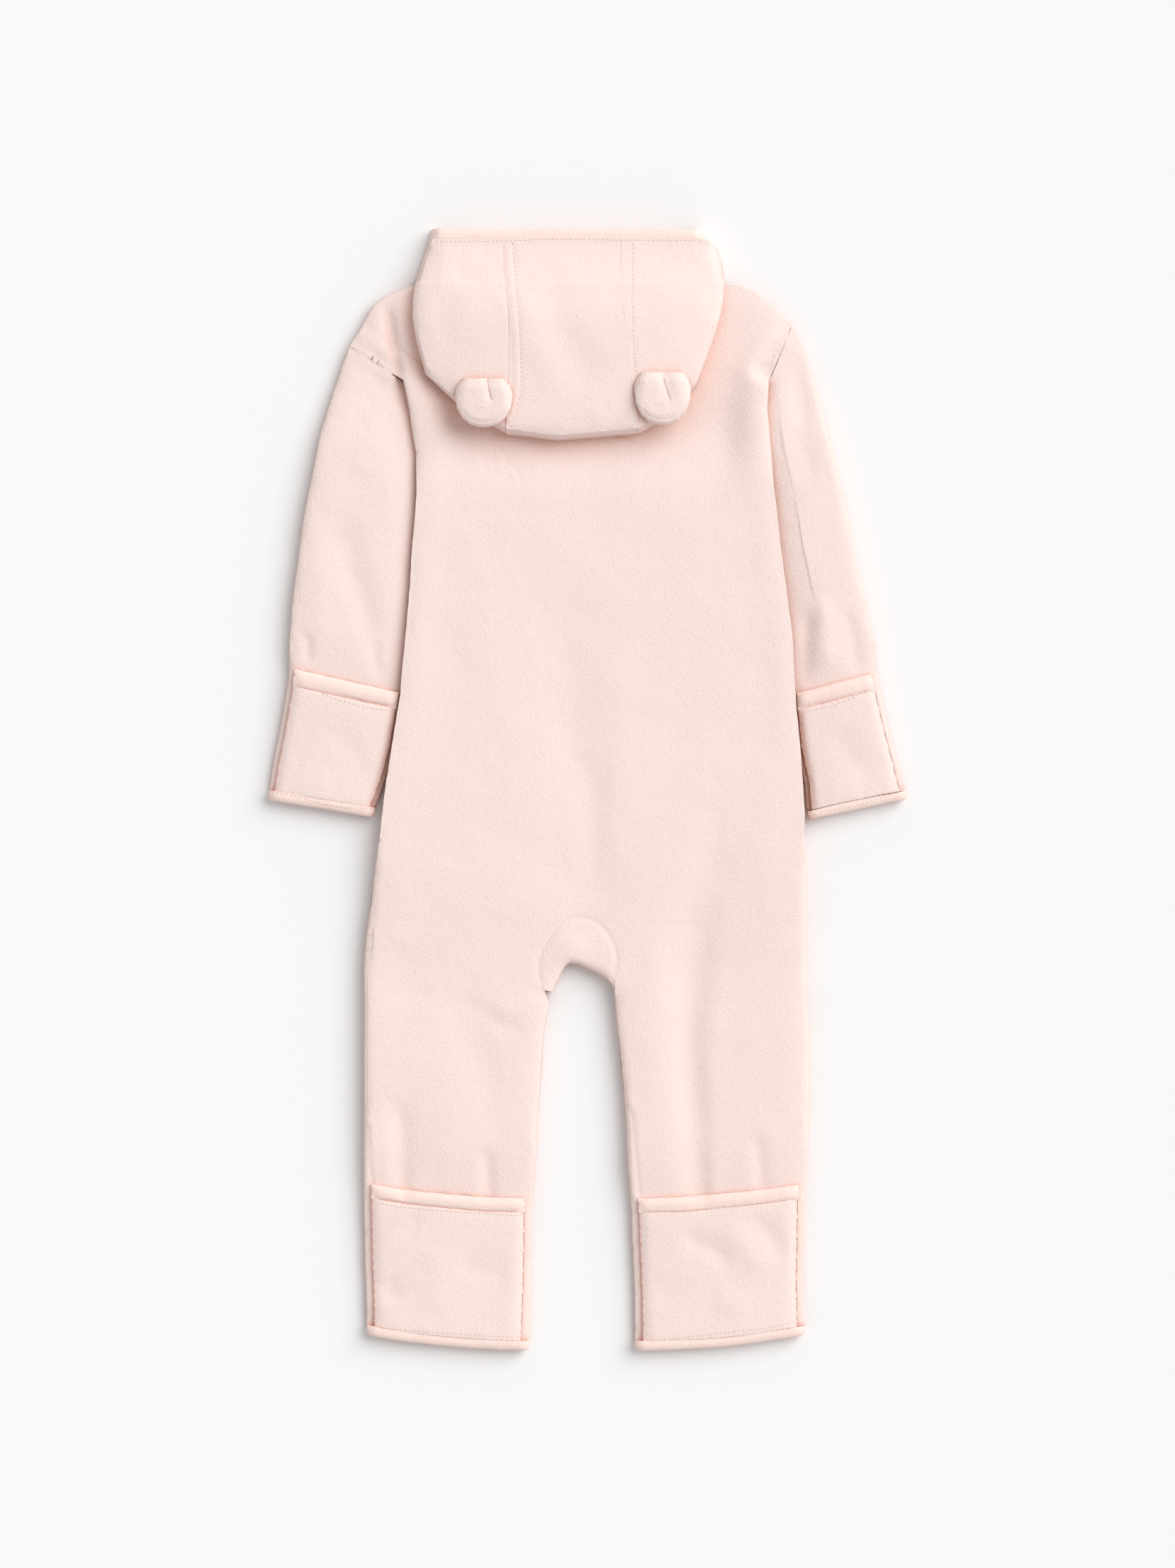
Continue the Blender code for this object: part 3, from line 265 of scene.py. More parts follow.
# the left sleeve tucks under here, so the fold runs in both the back and the sleeve
sleeveTuck = (-2.8, 3.4, 3.4, [(-119, 290), (-116, 269), (-113, 254), (-110, 238)])
bodyFolds = [
    (-1.6, 28, 8, [(-21, 132), (-14, 90), (-7, 39), (0, -11), (5, -68)]),
    (0.5, 24, 12, [(-58, 149), (-52, 90), (-39, 27), (-23, -49)]),
    (0.5, 16, 8, [(24, 107), (21, 48), (16, -3), (14, -61)]),
    (0.9, 8, 14, [(98, 277), (99, 241), (96, 199), (93, 149)]),
    (-0.5, 10, 16, [(87, 266), (84, 216), (78, 149)]),
    (-1.1, 5, 5, [(105, 254), (110, 239)]),
    (-1.5, 16, 7, [(80, -7), (66, -66), (60, -120), (61, -179), (66, -236)]),
    (0.7, 10, 6, [(93, -36), (76, -95), (72, -154), (75, -236)]),
    (0.4, 12, 12, [(42, -78), (40, -154), (49, -236)]),
    (-0.9, 5, 4, [(100, -202), (103, -234)]),
    (-1.3, 8, 5, [(-113, -175), (-110, -208), (-108, -238)]),
    (-0.8, 12, 10, [(-88, -99), (-71, -141), (-58, -179), (-52, -221)]),
    (-1.0, 5, 4, [(-60, -211), (-58, -239)]),
    (-0.6, 14, 14, [(-108, -87), (-110, -133)]),
    (-0.3, 10, 12, [(-88, 123), (-79, 65), (-79, 6)]),
    (-0.3, 9, 12, [(55, 90), (53, 27), (45, -28)]),
    (0.7, 6, 5, [(-58, -135), (-37, -128), (-26, -120)]),
    (-0.6, 5, 5, [(-79, -122), (-50, -139), (-32, -142)]),
    (0.4, 16, 16, [(-79, 178), (-58, 140)]),
    sleeveTuck,
]
sleeveFolds = [
    sleeveTuck,
    (-1.2, 8, 8, [(120, 266), (124, 235), (129, 200), (131, 170)]),
    (-1.5, 11, 7, [(-152, 174), (-142, 140), (-132, 107), (-122, 75)]),
    (0.6, 10, 9, [(-163, 149), (-160, 111), (-157, 77)]),
    (-0.9, 3.2, 3.2, [(-166, 94), (-165, 73)]),
    (-0.8, 4, 4, [(-126, 90), (-125, 66)]),
    (0.5, 9, 9, [(-126, 216), (-136, 182)]),
    (-0.5, 8, 8, [(-130, 241), (-138, 207)]),
    (1.5, 4, 9, [(139, 119), (140, 94), (142, 64)]),
    (-1.1, 4.6, 4.6, [(151, 113), (157, 88), (161, 64)]),
    (-1.2, 5, 5, [(131, 111), (129, 86), (128, 58)]),
    (-0.7, 6, 6, [(124, 252), (126, 233), (129, 212)]),
    (-0.4, 9, 9, [(139, 199), (141, 157), (147, 119)]),
]
flapFolds = [
    (-0.5, 8, 7, [(-154, 39), (-139, 22), (-131, 1)]),
    (0.4, 9, 9, [(-173, 12), (-151, 1)]),
    (-0.5, 7, 7, [(144, 38), (156, 19), (171, 6)]),
    (0.4, 8, 8, [(139, 2), (164, 0)]),
    (-1.1, 8, 8, [(-121, -286), (-113, -305)]),
    (-0.9, 9, 8, [(-79, -279), (-58, -286), (-43, -287)]),
    (-0.5, 7, 7, [(-108, -251), (-99, -262)]),
    (0.5, 8, 8, [(-96, -267), (-87, -288), (-91, -312)]),
    (-1.1, 6.5, 6.5, [(54, -264), (72, -271), (88, -283)]),
    (-1.1, 6.5, 6.5, [(96, -249), (108, -263), (117, -281)]),
    (-0.6, 12, 12, [(42, -286), (49, -307)]),
    (0.6, 7, 7, [(76, -255), (93, -271), (105, -290)]),
    (0.5, 8, 8, [(72, -299), (100, -310)]),
]
hoodFolds = [
    (-0.7, 11, 11, [(-88, 306), (-84, 275), (-74, 241)]),
    (-1.2, 9, 14, [(-24, 312), (-14, 270), (8, 228)]),
    (0.6, 9, 9, [(-37, 300), (-32, 266), (-16, 230)]),
    (-0.4, 9, 9, [(65, 318), (73, 287), (68, 249)]),
    (0.4, 10, 10, [(42, 308), (49, 270), (45, 249)]),
]
# sewn lines: a soft ditch along each, with the cloth beside it drawn finer
gussetSeam = [
    (-25.6, -118.9), (-29.0, -109.6), (-29.0, -104.2), (-27.7, -97.4), (-19.7, -84.4), (-14.7, -78.5),
    (-8.8, -76.0), (-1.3, -76.0), (5.9, -78.5), (11.8, -84.4), (16.0, -92.4), (17.2, -100.8), (14.7, -114.2),
]
hoodSeamLeft = [(-50.8, 323.8), (-48.7, 301.6), (-45.4, 266.7), (-44.1, 242.8), (-47.5, 209.6)]
hoodSeamRight = [(21.0, 323.8), (20.2, 288.1), (21.4, 261.7), (22.3, 245.3), (26.5, 225.5), (31.1, 210.8)]
hoodStitchLeft = [(-44.1, 323.8), (-39.5, 266.7), (-38.6, 236.0), (-44.1, 215.9), (-46.2, 207.9)]
hoodStitchRight = [(27.2, 323.8), (26.4, 288.1), (27.6, 261.7), (28.4, 246.4), (32.4, 227.5), (37.0, 213.8)]
hoodFace = [[(-92.4, 323.8), (-48.7, 324.2), (-20.6, 325.5), (21.0, 324.7), (70.5, 324.7)]]
armholeLeft = [(-140.7, 262.1), (-133.1, 257.9), (-125.6, 252.8), (-118.0, 247.8)]
armholeRight = [(121.4, 274.3), (115.5, 263.8), (110.5, 255.8), (105.4, 249.5)]
sideSeam = [(-129.8, -197.0), (-128.5, -223.9), (-127.3, -232.7)]
inSeam = [(25.6, -187.3), (28.1, -212.5), (30.7, -239.4)]
seams = [
    (-0.4, 1.8, 1.8, gussetSeam),
    (0.0, 1.7, 1.7, armholeLeft),
    (0.0, 1.7, 1.7, armholeRight),
    (-0.5, 1.8, 1.8, sideSeam),
    (-0.5, 1.8, 1.8, inSeam),
]
hoodSeams = [
    (-0.2, 1.3, 1.3, hoodSeamLeft),
    (0.0, 1.3, 1.3, hoodSeamRight),
    (-0.25, 1.2, 1.2, hoodStitchLeft),
    (-0.12, 1.2, 1.2, hoodStitchRight),
    (0.0, 1.6, 1.6, hoodFace[0]),
    (0.2, 2.4, 2.4, [(-47.0, 322), (-42.4, 266.7), (-41.2, 240), (-46.0, 212)]),
]


def smoothly(value, low, high):
    part = np.clip((value - low) / (high - low), 0.0, 1.0)
    return part * part * (3.0 - 2.0 * part)


def unevenness(places, size, seed):
    # soft hills about the size apart, from -1 to 1
    values = np.random.default_rng(seed).uniform(-1.0, 1.0, (101, 101))
    where = places / size + 50.0 + seed * 0.37
    cell = np.floor(where).astype(int)
    part = where - cell
    part = part * part * (3.0 - 2.0 * part)
    column, row = cell[:, 0] % 100, cell[:, 1] % 100
    low = values[column, row] * (1 - part[:, 0]) + values[column + 1, row] * part[:, 0]
    high = values[column, row + 1] * (1 - part[:, 0]) + values[column + 1, row + 1] * part[:, 0]
    return low * (1 - part[:, 1]) + high * part[:, 1]


def paced(line):
    # the line's points, the length of each step, and how far along each point lies
    path = np.array(line, float)
    steps = np.linalg.norm(np.diff(path, axis=0), axis=1)
    return path, steps, np.concatenate([[0.0], np.cumsum(steps)])


def alongLine(places, line):
    # distance from the line, and how far along it, from 0 to 1
    path, steps, gone = paced(line)
    nearest = np.full(len(places), 1e9)
    share = np.zeros(len(places))
    for start, end, before, step in zip(path[:-1], path[1:], gone[:-1], steps):
        direction = (end - start) / step
        reach = np.clip((places - start) @ direction, 0.0, step)
        away = np.linalg.norm(places - start - reach[:, None] * direction, axis=1)
        closer = away < nearest
        nearest[closer] = away[closer]
        share[closer] = (before + reach[closer]) / gone[-1]
    return nearest, share


# all in mm; a pair of ys says where a change starts and where it ends
drape = {
    "level": 14.4,          # height that the back fills out to between the sleeves
    "fullness": 6.6,        # the most that it bellies up off the layers below
    "fullnessOfLegs": 3.4,
    "fullnessAtHems": 1.2,
    "hoodFullness": 4.2,
    "legsToBack": (-120, -20),
    "hemsToLegs": (-300, -225),
    "backToNeck": (176, 214),
    "cuffsToSleeves": (5, 75),
    "sleevesToShoulders": (190, 250),
    "hoodToFace": (270, 324),
    "gussetMiddle": (-6.0, -97.0),
    "gussetRise": 1.9,
    "gussetWidth": 13.0,
    "bootieEdge": -237,     # y of the booties' bound edges
    "bootieEdgeReach": 6,   # how near it a fold ends that runs in under it
    "foldWaver": 19.0,      # size of the unevenness along a fold
    "wide": (0.35, 34.0),   # height and size of the broad unevenness
    "small": (0.11, 11.0),
    "fine": (0.05, 4.5),
    "edgeWander": (0.32, 24.0),
    "edgeFray": (0.14, 5.0),
}


def foldHeight(places, folds, ends=0.3, waver=0.25):
    height = np.zeros(len(places))
    for number, (rise, first, last, line) in enumerate(folds):
        away, share = alongLine(places, line)
        width = first + (last - first) * share
        tail = smoothly(np.minimum(share, 1.0 - share), 0.0, ends)
        if abs(line[-1][1] - drape["bootieEdge"]) < drape["bootieEdgeReach"]:
            tail = smoothly(share, 0.0, ends)       # runs in under the flap's bound edge
        lively = 1.0 + waver * unevenness(places, drape["foldWaver"], 40 + number)
        height += rise * tail * lively * np.exp(-((away / width) ** 2))
    return height


def softly(places, seed):
    return sum(drape[key][0] * unevenness(places, drape[key][1], seed + number)
               for number, key in enumerate(("wide", "small", "fine")))


def fillBody(points):
    y = points[:, 1]
    legs, hems = drape["fullnessOfLegs"], drape["fullnessAtHems"]
    full = drape["fullness"] + (legs - drape["fullness"]) * (1.0 - smoothly(y, *drape["legsToBack"]))
    full += (hems - legs) * (1.0 - smoothly(y, *drape["hemsToLegs"]))
    room = np.maximum(drape["level"] - points[:, 2], 0.0)
    return np.minimum(full, room) * (1.0 - smoothly(y, *drape["backToNeck"]))


def creaseBody(places):
    return foldHeight(places, bodyFolds) + softly(places, 0) + foldHeight(places, seams, 0.08, 0.1)


def creaseGusset(places):
    x, y = drape["gussetMiddle"]
    away = np.hypot(places[:, 0] - x, places[:, 1] - y)
    return creaseBody(places) + drape["gussetRise"] * np.exp(-((away / drape["gussetWidth"]) ** 2))


def fillSleeve(points):
    y = points[:, 1]
    atCuff = 1.0 - smoothly(y, *drape["cuffsToSleeves"])
    full = drape["fullnessOfLegs"] * (1.0 - atCuff) + drape["fullnessAtHems"] * atCuff
    return full * (1.0 - smoothly(y, *drape["sleevesToShoulders"]))


def creaseSleeve(places):
    return foldHeight(places, sleeveFolds) + softly(places, 0) + foldHeight(places, seams, 0.08, 0.1)


def creaseMitt(places):
    return creaseSleeve(places) + foldHeight(places, flapFolds)


def creaseBootie(places):
    return creaseBody(places) + foldHeight(places, flapFolds)


def fillHood(points):
    return drape["hoodFullness"] * (1.0 - smoothly(points[:, 1], *drape["hoodToFace"]))


def creaseHood(places):
    return foldHeight(places, hoodFolds) + foldHeight(places, hoodSeams, 0.03, 0.15) + softly(places, 11)


# how each kind of piece fills out, how it creases, and the heights between which it starts to
lieOfFront = (fillBody, creaseBody, 2.9, 6.5)
lieOfBack = (fillBody, creaseBody, 1.8, 6.5)
lieOfGusset = (fillBody, creaseGusset, 1.8, 6.5)
lieOfSleeve = (fillSleeve, creaseSleeve, 1.8, 6.0)
lieOfMitt = (fillSleeve, creaseMitt, 1.0, 5.0)
lieOfBootie = (fillBody, creaseBootie, 1.0, 5.0)
lieOfHood = (fillHood, creaseHood, 9.0, 14.5)
lieFlat = (lambda points: 0.0 * points[:, 0], lambda places: 0.0 * places[:, 0], 9.0, 12.5)

# how finely cloth is drawn and how it is sewn, in mm where nothing else is said
making = {
    "hiddenBelow": 4.5,         # cloth that lies lower than this on the average is hidden
    "hiddenSpacing": 14.0,
    "seamSpacing": 1.1,
    "seamReach": 2.2,           # how far out the fine cloth goes, in widths of the seam's ditch
    "pullReach": 3.4,           # how far in from a seam its cloth is drawn over
    "flapPush": 0.15,           # how far a flap's sides are pushed out
    "flapPushReach": 3.0,
    "armholeReach": (3.0, 12.0),    # how far from an armhole its height holds, and where it ends
    "wall": 1.6,                # thickness kept under the upper side
    "lowestInside": 1.2,
    "rimHeight": 0.6,           # nothing this low is eased
    "easing": 0.6,              # share of the way to its neighbours that a point moves each round
    "firstRounds": 4,
    "cutEdge": 52,              # degrees over which an edge keeps its own light
    "farAbove": 60.0,
}
# heights at which sleeve and back meet, at these shares of the way along each armhole
armholeShares = (0.0, 0.4, 1.0)
armholeLevels = ((armholeLeft, (6.3, 8.4, 8.6)), (armholeRight, (6.6, 9.0, 9.0)))
down = Vector((0, 0, -1))


def wander(points):
    # cloth edges are never quite straight: everything drifts a little sideways, together
    flat = points[:, :2].copy()
    for axis in (0, 1):
        for seed, key in ((60, "edgeWander"), (70, "edgeFray")):
            rise, size = drape[key]
            points[:, axis] += rise * unevenness(flat, size, seed + axis)
    return points


def halveLong(points, faces, limitAt):
    # every edge longer than its limit is cut in two, and its triangles with it
    pairs = np.sort(np.concatenate([faces[:, [0, 1]], faces[:, [1, 2]], faces[:, [2, 0]]]), axis=1)
    edges, which = np.unique(pairs[:, 0] * len(points) + pairs[:, 1], return_inverse=True)
    edges = np.stack([edges // len(points), edges % len(points)], 1)
    which = which.reshape(3, -1).T
    length = np.linalg.norm(points[edges[:, 0]] - points[edges[:, 1]], axis=1)
    middles = (points[edges[:, 0]] + points[edges[:, 1]]) / 2
    a, b, c = (points[faces[:, one]] for one in range(3))
    flat = np.cross(b - a, c - a)
    tilt = flat[:, 2] / np.maximum(np.linalg.norm(flat, axis=1), 1e-12)
    hidden = (tilt < -0.5) | ((tilt > 0.5) & ((a + b + c)[:, 2] < 3 * making["hiddenBelow"]))
    shown = np.bincount(which[~hidden].ravel(), minlength=len(edges)) > 0
    limit = np.full(len(edges), making["hiddenSpacing"])
    limit[shown] = limitAt(middles[shown])
    cut = length > limit
    if not cut.any():
        return points, faces, False
    number = np.full(len(edges), -1)
    number[cut] = len(points) + np.arange(cut.sum())
    points = np.concatenate([points, middles[cut]])
    middle = number[which]
    done = [faces[(middle < 0).all(axis=1)]]
    for turn in range(3):
        a, b, c = (np.roll(faces, -turn, axis=1)[:, one] for one in range(3))
        ab, bc, ca = (np.roll(middle, -turn, axis=1)[:, one] for one in range(3))
        one = (ab >= 0) & (bc < 0) & (ca < 0)
        done += [np.stack([a, ab, c], 1)[one], np.stack([ab, b, c], 1)[one]]
        two = (ab < 0) & (bc >= 0) & (ca >= 0)
        done += [np.stack([c, ca, bc], 1)[two]]
        fromA = np.linalg.norm(points[a] - points[bc], axis=1)
        across = fromA < np.linalg.norm(points[b] - points[ca], axis=1)
        done += [np.stack([a, b, bc], 1)[two & across], np.stack([a, bc, ca], 1)[two & across]]
        done += [np.stack([a, b, ca], 1)[two & ~across], np.stack([b, bc, ca], 1)[two & ~across]]
    every = (middle >= 0).all(axis=1)
    a, b, c = faces[every].T
    ab, bc, ca = middle[every].T
    done += [np.stack([a, ab, ca], 1), np.stack([ab, b, bc], 1), np.stack([ca, bc, c], 1)]
    done += [np.stack([ab, bc, ca], 1)]
    return points, np.concatenate(done), True


def readSolid(node):
    mesh = nodes[node].data
    mesh.calc_loop_triangles()
    points = np.empty(len(mesh.vertices) * 3)
    mesh.vertices.foreach_get("co", points)
    faces = np.empty(len(mesh.loop_triangles) * 3, int)
    mesh.loop_triangles.foreach_get("vertices", faces)
    points, which = np.unique(np.round(points.reshape(-1, 3) * 1000, 3), axis=0, return_inverse=True)
    faces = which.reshape(-1)[faces].reshape(-1, 3)
    good = (faces[:, 0] != faces[:, 1]) & (faces[:, 1] != faces[:, 2]) & (faces[:, 2] != faces[:, 0])
    return points, faces[good]


def pointNormals(points, faces):
    a, b, c = (points[faces[:, one]] for one in range(3))
    flat = np.cross(b - a, c - a)
    total = np.stack([sum(np.bincount(faces[:, one], flat[:, axis], len(points)) for one in range(3))
                      for axis in range(3)], 1)
    return total / np.maximum(np.linalg.norm(total, axis=1, keepdims=True), 1e-12)


def roundSides(points, faces, drop, width):
    # a flap's sides are sewn down into the side seams, so its cloth rolls down to them
    normals = pointNormals(points, faces)
    sides = points[(np.abs(normals[:, 0]) > 0.6) & (np.abs(normals[:, 2]) < 0.6)]
    away = np.full(len(points), 1e9)
    for part in np.array_split(sides, len(sides) // 60 + 1):
        gap = np.hypot(*(points[:, None, axis] - part[None, :, axis] for axis in (0, 1)))
        away = np.minimum(away, gap.min(axis=1))
    upper = points[:, 2] > 0.5 * (points[:, 2].min() + points[:, 2].max())
    points[upper, 2] -= drop * np.clip(1.0 - away[upper] / width, 0.0, 1.0) ** 2
    middle = 0.5 * (points[:, 0].min() + points[:, 0].max())
    push = making["flapPush"] * np.sign(points[:, 0] - middle)
    points[:, 0] += push * np.clip(1.0 - away / making["flapPushReach"], 0.0, 1.0)
    return points


def keepUnder(points, faces):
    # the inner side of the cloth follows its upper side wherever that was eased down
    wall = making["wall"]
    below = np.flatnonzero((pointNormals(points, faces)[:, 2] < -0.8) & (points[:, 2] > wall))
    tree = BVHTree.FromPolygons(points.tolist(), faces.tolist())
    for one in below:
        hit = tree.ray_cast(Vector((points[one, 0], points[one, 1], making["farAbove"])), down)[0]
        if hit is not None:
            points[one, 2] = max(min(points[one, 2], hit[2] - wall), making["lowestInside"])
    return points


def acrossLine(places, line):
    # the way square to the line at its nearest step, and how far to that side each place lies
    path = np.array(line, float)
    nearest = np.full(len(places), 1e9)
    ways = np.zeros((len(places), 2))
    for start, end in zip(path[:-1], path[1:]):
        step = (end - start) / np.linalg.norm(end - start)
        reach = np.clip((places - start) @ step, 0.0, np.linalg.norm(end - start))
        away = np.linalg.norm(places - start - reach[:, None] * step, axis=1)
        closer = away < nearest
        nearest[closer] = away[closer]
        ways[closer] = (-step[1], step[0])
    starts = path[np.argmin([np.hypot(*(places - spot).T) for spot in path], axis=0)]
    return ways, ((places - starts) * ways).sum(axis=1)


def closeUp(points, lines, overlap):
    # sewn edges are drawn together until they touch along each seam
    reach = making["pullReach"]
    near = np.zeros(len(points), bool)
    for line in lines:
        away = alongLine(points[:, :2], line)[0]
        close = away < reach
        if not close.any():
            continue
        near |= close
        ways, side = acrossLine(points[close, :2], line)
        pull = -np.sign(side.mean()) * overlap * (1.0 - away[close] / reach)
        points[close, :2] += pull[:, None] * ways
    return points, near


def meetArmholes(points, moves):
    # sleeve and back meet at one height along each armhole, so the seam hardly shows
    for line, levels in armholeLevels:
        away, share = alongLine(points[:, :2], line)
        blend = (1.0 - smoothly(away, *making["armholeReach"])) * smoothly(points[:, 2], 3.0, 5.0)
        points[:, 2] += blend * (np.interp(share, armholeShares, levels) - points[:, 2])
        moves = np.maximum(moves, blend)
    return points, moves


def easeHeights(points, faces, rounds, sewn, facing=0.3):
    # rounds off the cut's flat facets on the upper side, without moving its outline
    free = pointNormals(points, faces)[:, 2] > facing
    free &= points[:, 2] > making["rimHeight"]
    edges = np.unique(np.sort(np.concatenate([faces[:, [0, 1]], faces[:, [1, 2]]]), axis=1), axis=0)
    ends = np.concatenate([edges, edges[:, ::-1]])
    weight = 1.0 / np.maximum(np.linalg.norm(points[ends[:, 0]] - points[ends[:, 1]], axis=1), 0.3)
    weight[sewn[ends[:, 0]] & ~free[ends[:, 1]]] = 0.0      # a sewn rim isn't drawn down by its side
    total = np.maximum(np.bincount(ends[:, 0], weight, len(points)), 1e-9)
    free &= total > 1e-6
    for _ in range(rounds):
        mean = np.bincount(ends[:, 0], weight * points[ends[:, 1], 2], len(points)) / total
        points[free, 2] += making["easing"] * (mean[free] - points[free, 2])
    return points


def fineCloth(node, spacing, lie, fineLines, sewn, overlap, rounds, swell, sides, facing):
    fill, crease, low, high = lie
    points, faces = readSolid(node)

    def limitAt(middles):
        limit = np.full(len(middles), float(spacing))
        for _, first, _, line in fineLines:
            away, _ = alongLine(middles[:, :2], line)
            limit[away < making["seamReach"] * first] = making["seamSpacing"]
        return limit

    for _ in range(12):
        points, faces, more = halveLong(points, faces, limitAt)
        if not more:
            break
    points, near = closeUp(points, sewn, overlap)
    points = easeHeights(points, faces, making["firstRounds"], near)
    if sides:
        points = roundSides(points, faces, *sides)
    moves = smoothly(points[:, 2], low, high)
    points[:, 2] += moves * fill(points)
    points = easeHeights(points, faces, rounds, near, facing)
    if armholeLeft in sewn:
        points, moves = meetArmholes(points, moves)
    points[:, 2] += moves * crease(points[:, :2])
    if rounds:
        points = keepUnder(points, faces)
    if swell:
        points += swell * pointNormals(points, faces)
        points[:, 2] = np.maximum(points[:, 2], 0.0)
    return wander(points), faces


made = {}


def putPiece(name, points, faces, finish, node=None, body="suit"):
    mesh = bpy.data.meshes.new(name)
    mesh.from_pydata((points / 1000.0).tolist(), [], faces.tolist())
    mesh.validate()
    mesh.polygons.foreach_set("use_smooth", [True] * len(mesh.polygons))
    mesh.set_sharp_from_angle(angle=math.radians(making["cutEdge"]))
    mesh.materials.append(finish)
    piece = bpy.data.objects.new(name, mesh)
    bpy.context.scene.collection.objects.link(piece)
    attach(piece, body)
    if node:
        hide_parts(node)
    made[name] = (points, faces)
    return piece


def surface(points, faces):
    a, b, c = (points[faces[:, one]] for one in range(3))
    return np.linalg.norm(np.cross(b - a, c - a), axis=1).sum() / 2e6


def sewCloth(name, node, cut, lie, spacing, finish=fleece, fineLines=(), sewn=(),
             overlap=0.26, rounds=60, swell=0.0, sides=None, facing=0.5):
    points, faces = fineCloth(node, spacing, lie, fineLines, sewn, overlap, rounds, swell, sides, facing)
    piece = putPiece(name, points, faces, finish, node)
    wide, long, area = cut
    print("  ", name, len(faces), "faces, cloth", round(surface(points, faces) / 2, 5), "cut", area)
    return piece


# cut sizes: width and length in metres, and square metres of cloth
# spacing is mm between the mesh's points, overlap the mm that sewn edges are drawn over,
# and rounds how often the heights are eased
body = {
    "spacing": 3.2,
    "overlap": 0.6,
    "frontSpacing": 4.0,
    "gussetSpacing": 1.6,
    "gussetOverlap": 0.4,
    "gussetRounds": 12,
    "backBody": (0.30, 0.63, 0.145),
    "frontLeft": (0.16, 0.60, 0.070),
    "frontRight": (0.16, 0.60, 0.072),
    "crotchGusset": (0.05, 0.08, 0.0029),
}
sewnLines = [gussetSeam, armholeLeft, armholeRight]
sewCloth(
    "backBody", "back_body", body["backBody"], lieOfBack, body["spacing"],
    fineLines=seams, sewn=sewnLines, overlap=body["overlap"],
)
for side in ("Left", "Right"):
    name = "front" + side
    sewCloth(name, "front_" + side.lower(), body[name], lieOfFront, body["frontSpacing"], sewn=sewnLines)
sewCloth(
    "crotchGusset", "gusset", body["crotchGusset"], lieOfGusset, body["gussetSpacing"],
    fineLines=seams[:1], sewn=sewnLines[:1], overlap=body["gussetOverlap"], rounds=body["gussetRounds"],
)
print("body sewn")

sleeves = {
    "spacing": 2.4,
    "overlap": 1.2,
    "rounds": 160,
    "sleeveLeft": (0.19, 0.29, 0.034),
    "sleeveRight": (0.19, 0.29, 0.032),
}
for side in ("Left", "Right"):
    sewCloth(
        "sleeve" + side, "sleeve_" + side.lower(), sleeves["sleeve" + side], lieOfSleeve,
        sleeves["spacing"], fineLines=seams[1:3], sewn=sewnLines[1:],
        overlap=sleeves["overlap"], rounds=sleeves["rounds"],
    )
print("sleeves sewn")

flaps = {
    "spacing": 1.8,
    "rounds": 20,
    "swell": 0.12,          # mm that the cloth is plumped out by all round
    "sides": (1.5, 5.0),    # mm that a side is sewn down by, and how far in it starts to roll
    "mittFlapLeft": (0.08, 0.08, 0.0038),
    "mittFlapRight": (0.08, 0.08, 0.0036),
    "bootieFlapLeft": (0.10, 0.09, 0.0073),
    "bootieFlapRight": (0.10, 0.09, 0.0073),
}
for kind, lie in (("mitt", lieOfMitt), ("bootie", lieOfBootie)):
    for side in ("Left", "Right"):
        name = kind + "Flap" + side
        sewCloth(
            name, f"{kind}_flap_{side.lower()}", flaps[name], lie, flaps["spacing"],
            rounds=flaps["rounds"], swell=flaps["swell"], sides=flaps["sides"],
        )
print("mitt and bootie flaps sewn")

hood = {
    "spacing": 2.0,
    "overlap": 0.9,
    "rounds": 160,
    "underSpacing": 4.0,
    "earSpacing": 0.9,
    "earRounds": 10,
    "earThinning": (1.8, 6.0),      # mm taken off at an ear's sewn edge, and over how far
    "hoodLeft": (0.07, 0.13, 0.0065),
    "hoodCentre": (0.09, 0.13, 0.0094),
    "hoodRight": (0.07, 0.13, 0.0066),
    "hoodUnder": (0.20, 0.14, 0.0214),
    "earLeft": (0.04, 0.035, 0.0010),
    "earRight": (0.04, 0.035, 0.0011),
}
for name, node in (("hoodLeft", "hood_left"), ("hoodCentre", "hood_centre"), ("hoodRight", "hood_right")):
    sewCloth(
        name, node, hood[name], lieOfHood, hood["spacing"], fineLines=hoodSeams,
        sewn=[hoodSeamLeft, hoodSeamRight] + hoodFace, overlap=hood["overlap"], rounds=hood["rounds"],
    )
sewCloth("hoodUnder", "hood_under", hood["hoodUnder"], lieFlat, hood["underSpacing"], rounds=0)


def earRim(middle, top, half, depth, inset=2.6):
    # the seam of an ear's two layers, which shows just inside its lower edge
    turns = [math.pi * (0.12 + 0.76 * step / 12) for step in range(13)]
    centre = top - depth + half
    reach = half - inset
    return [(middle - reach * math.cos(turn), centre - reach * math.sin(turn)) for turn in turns]


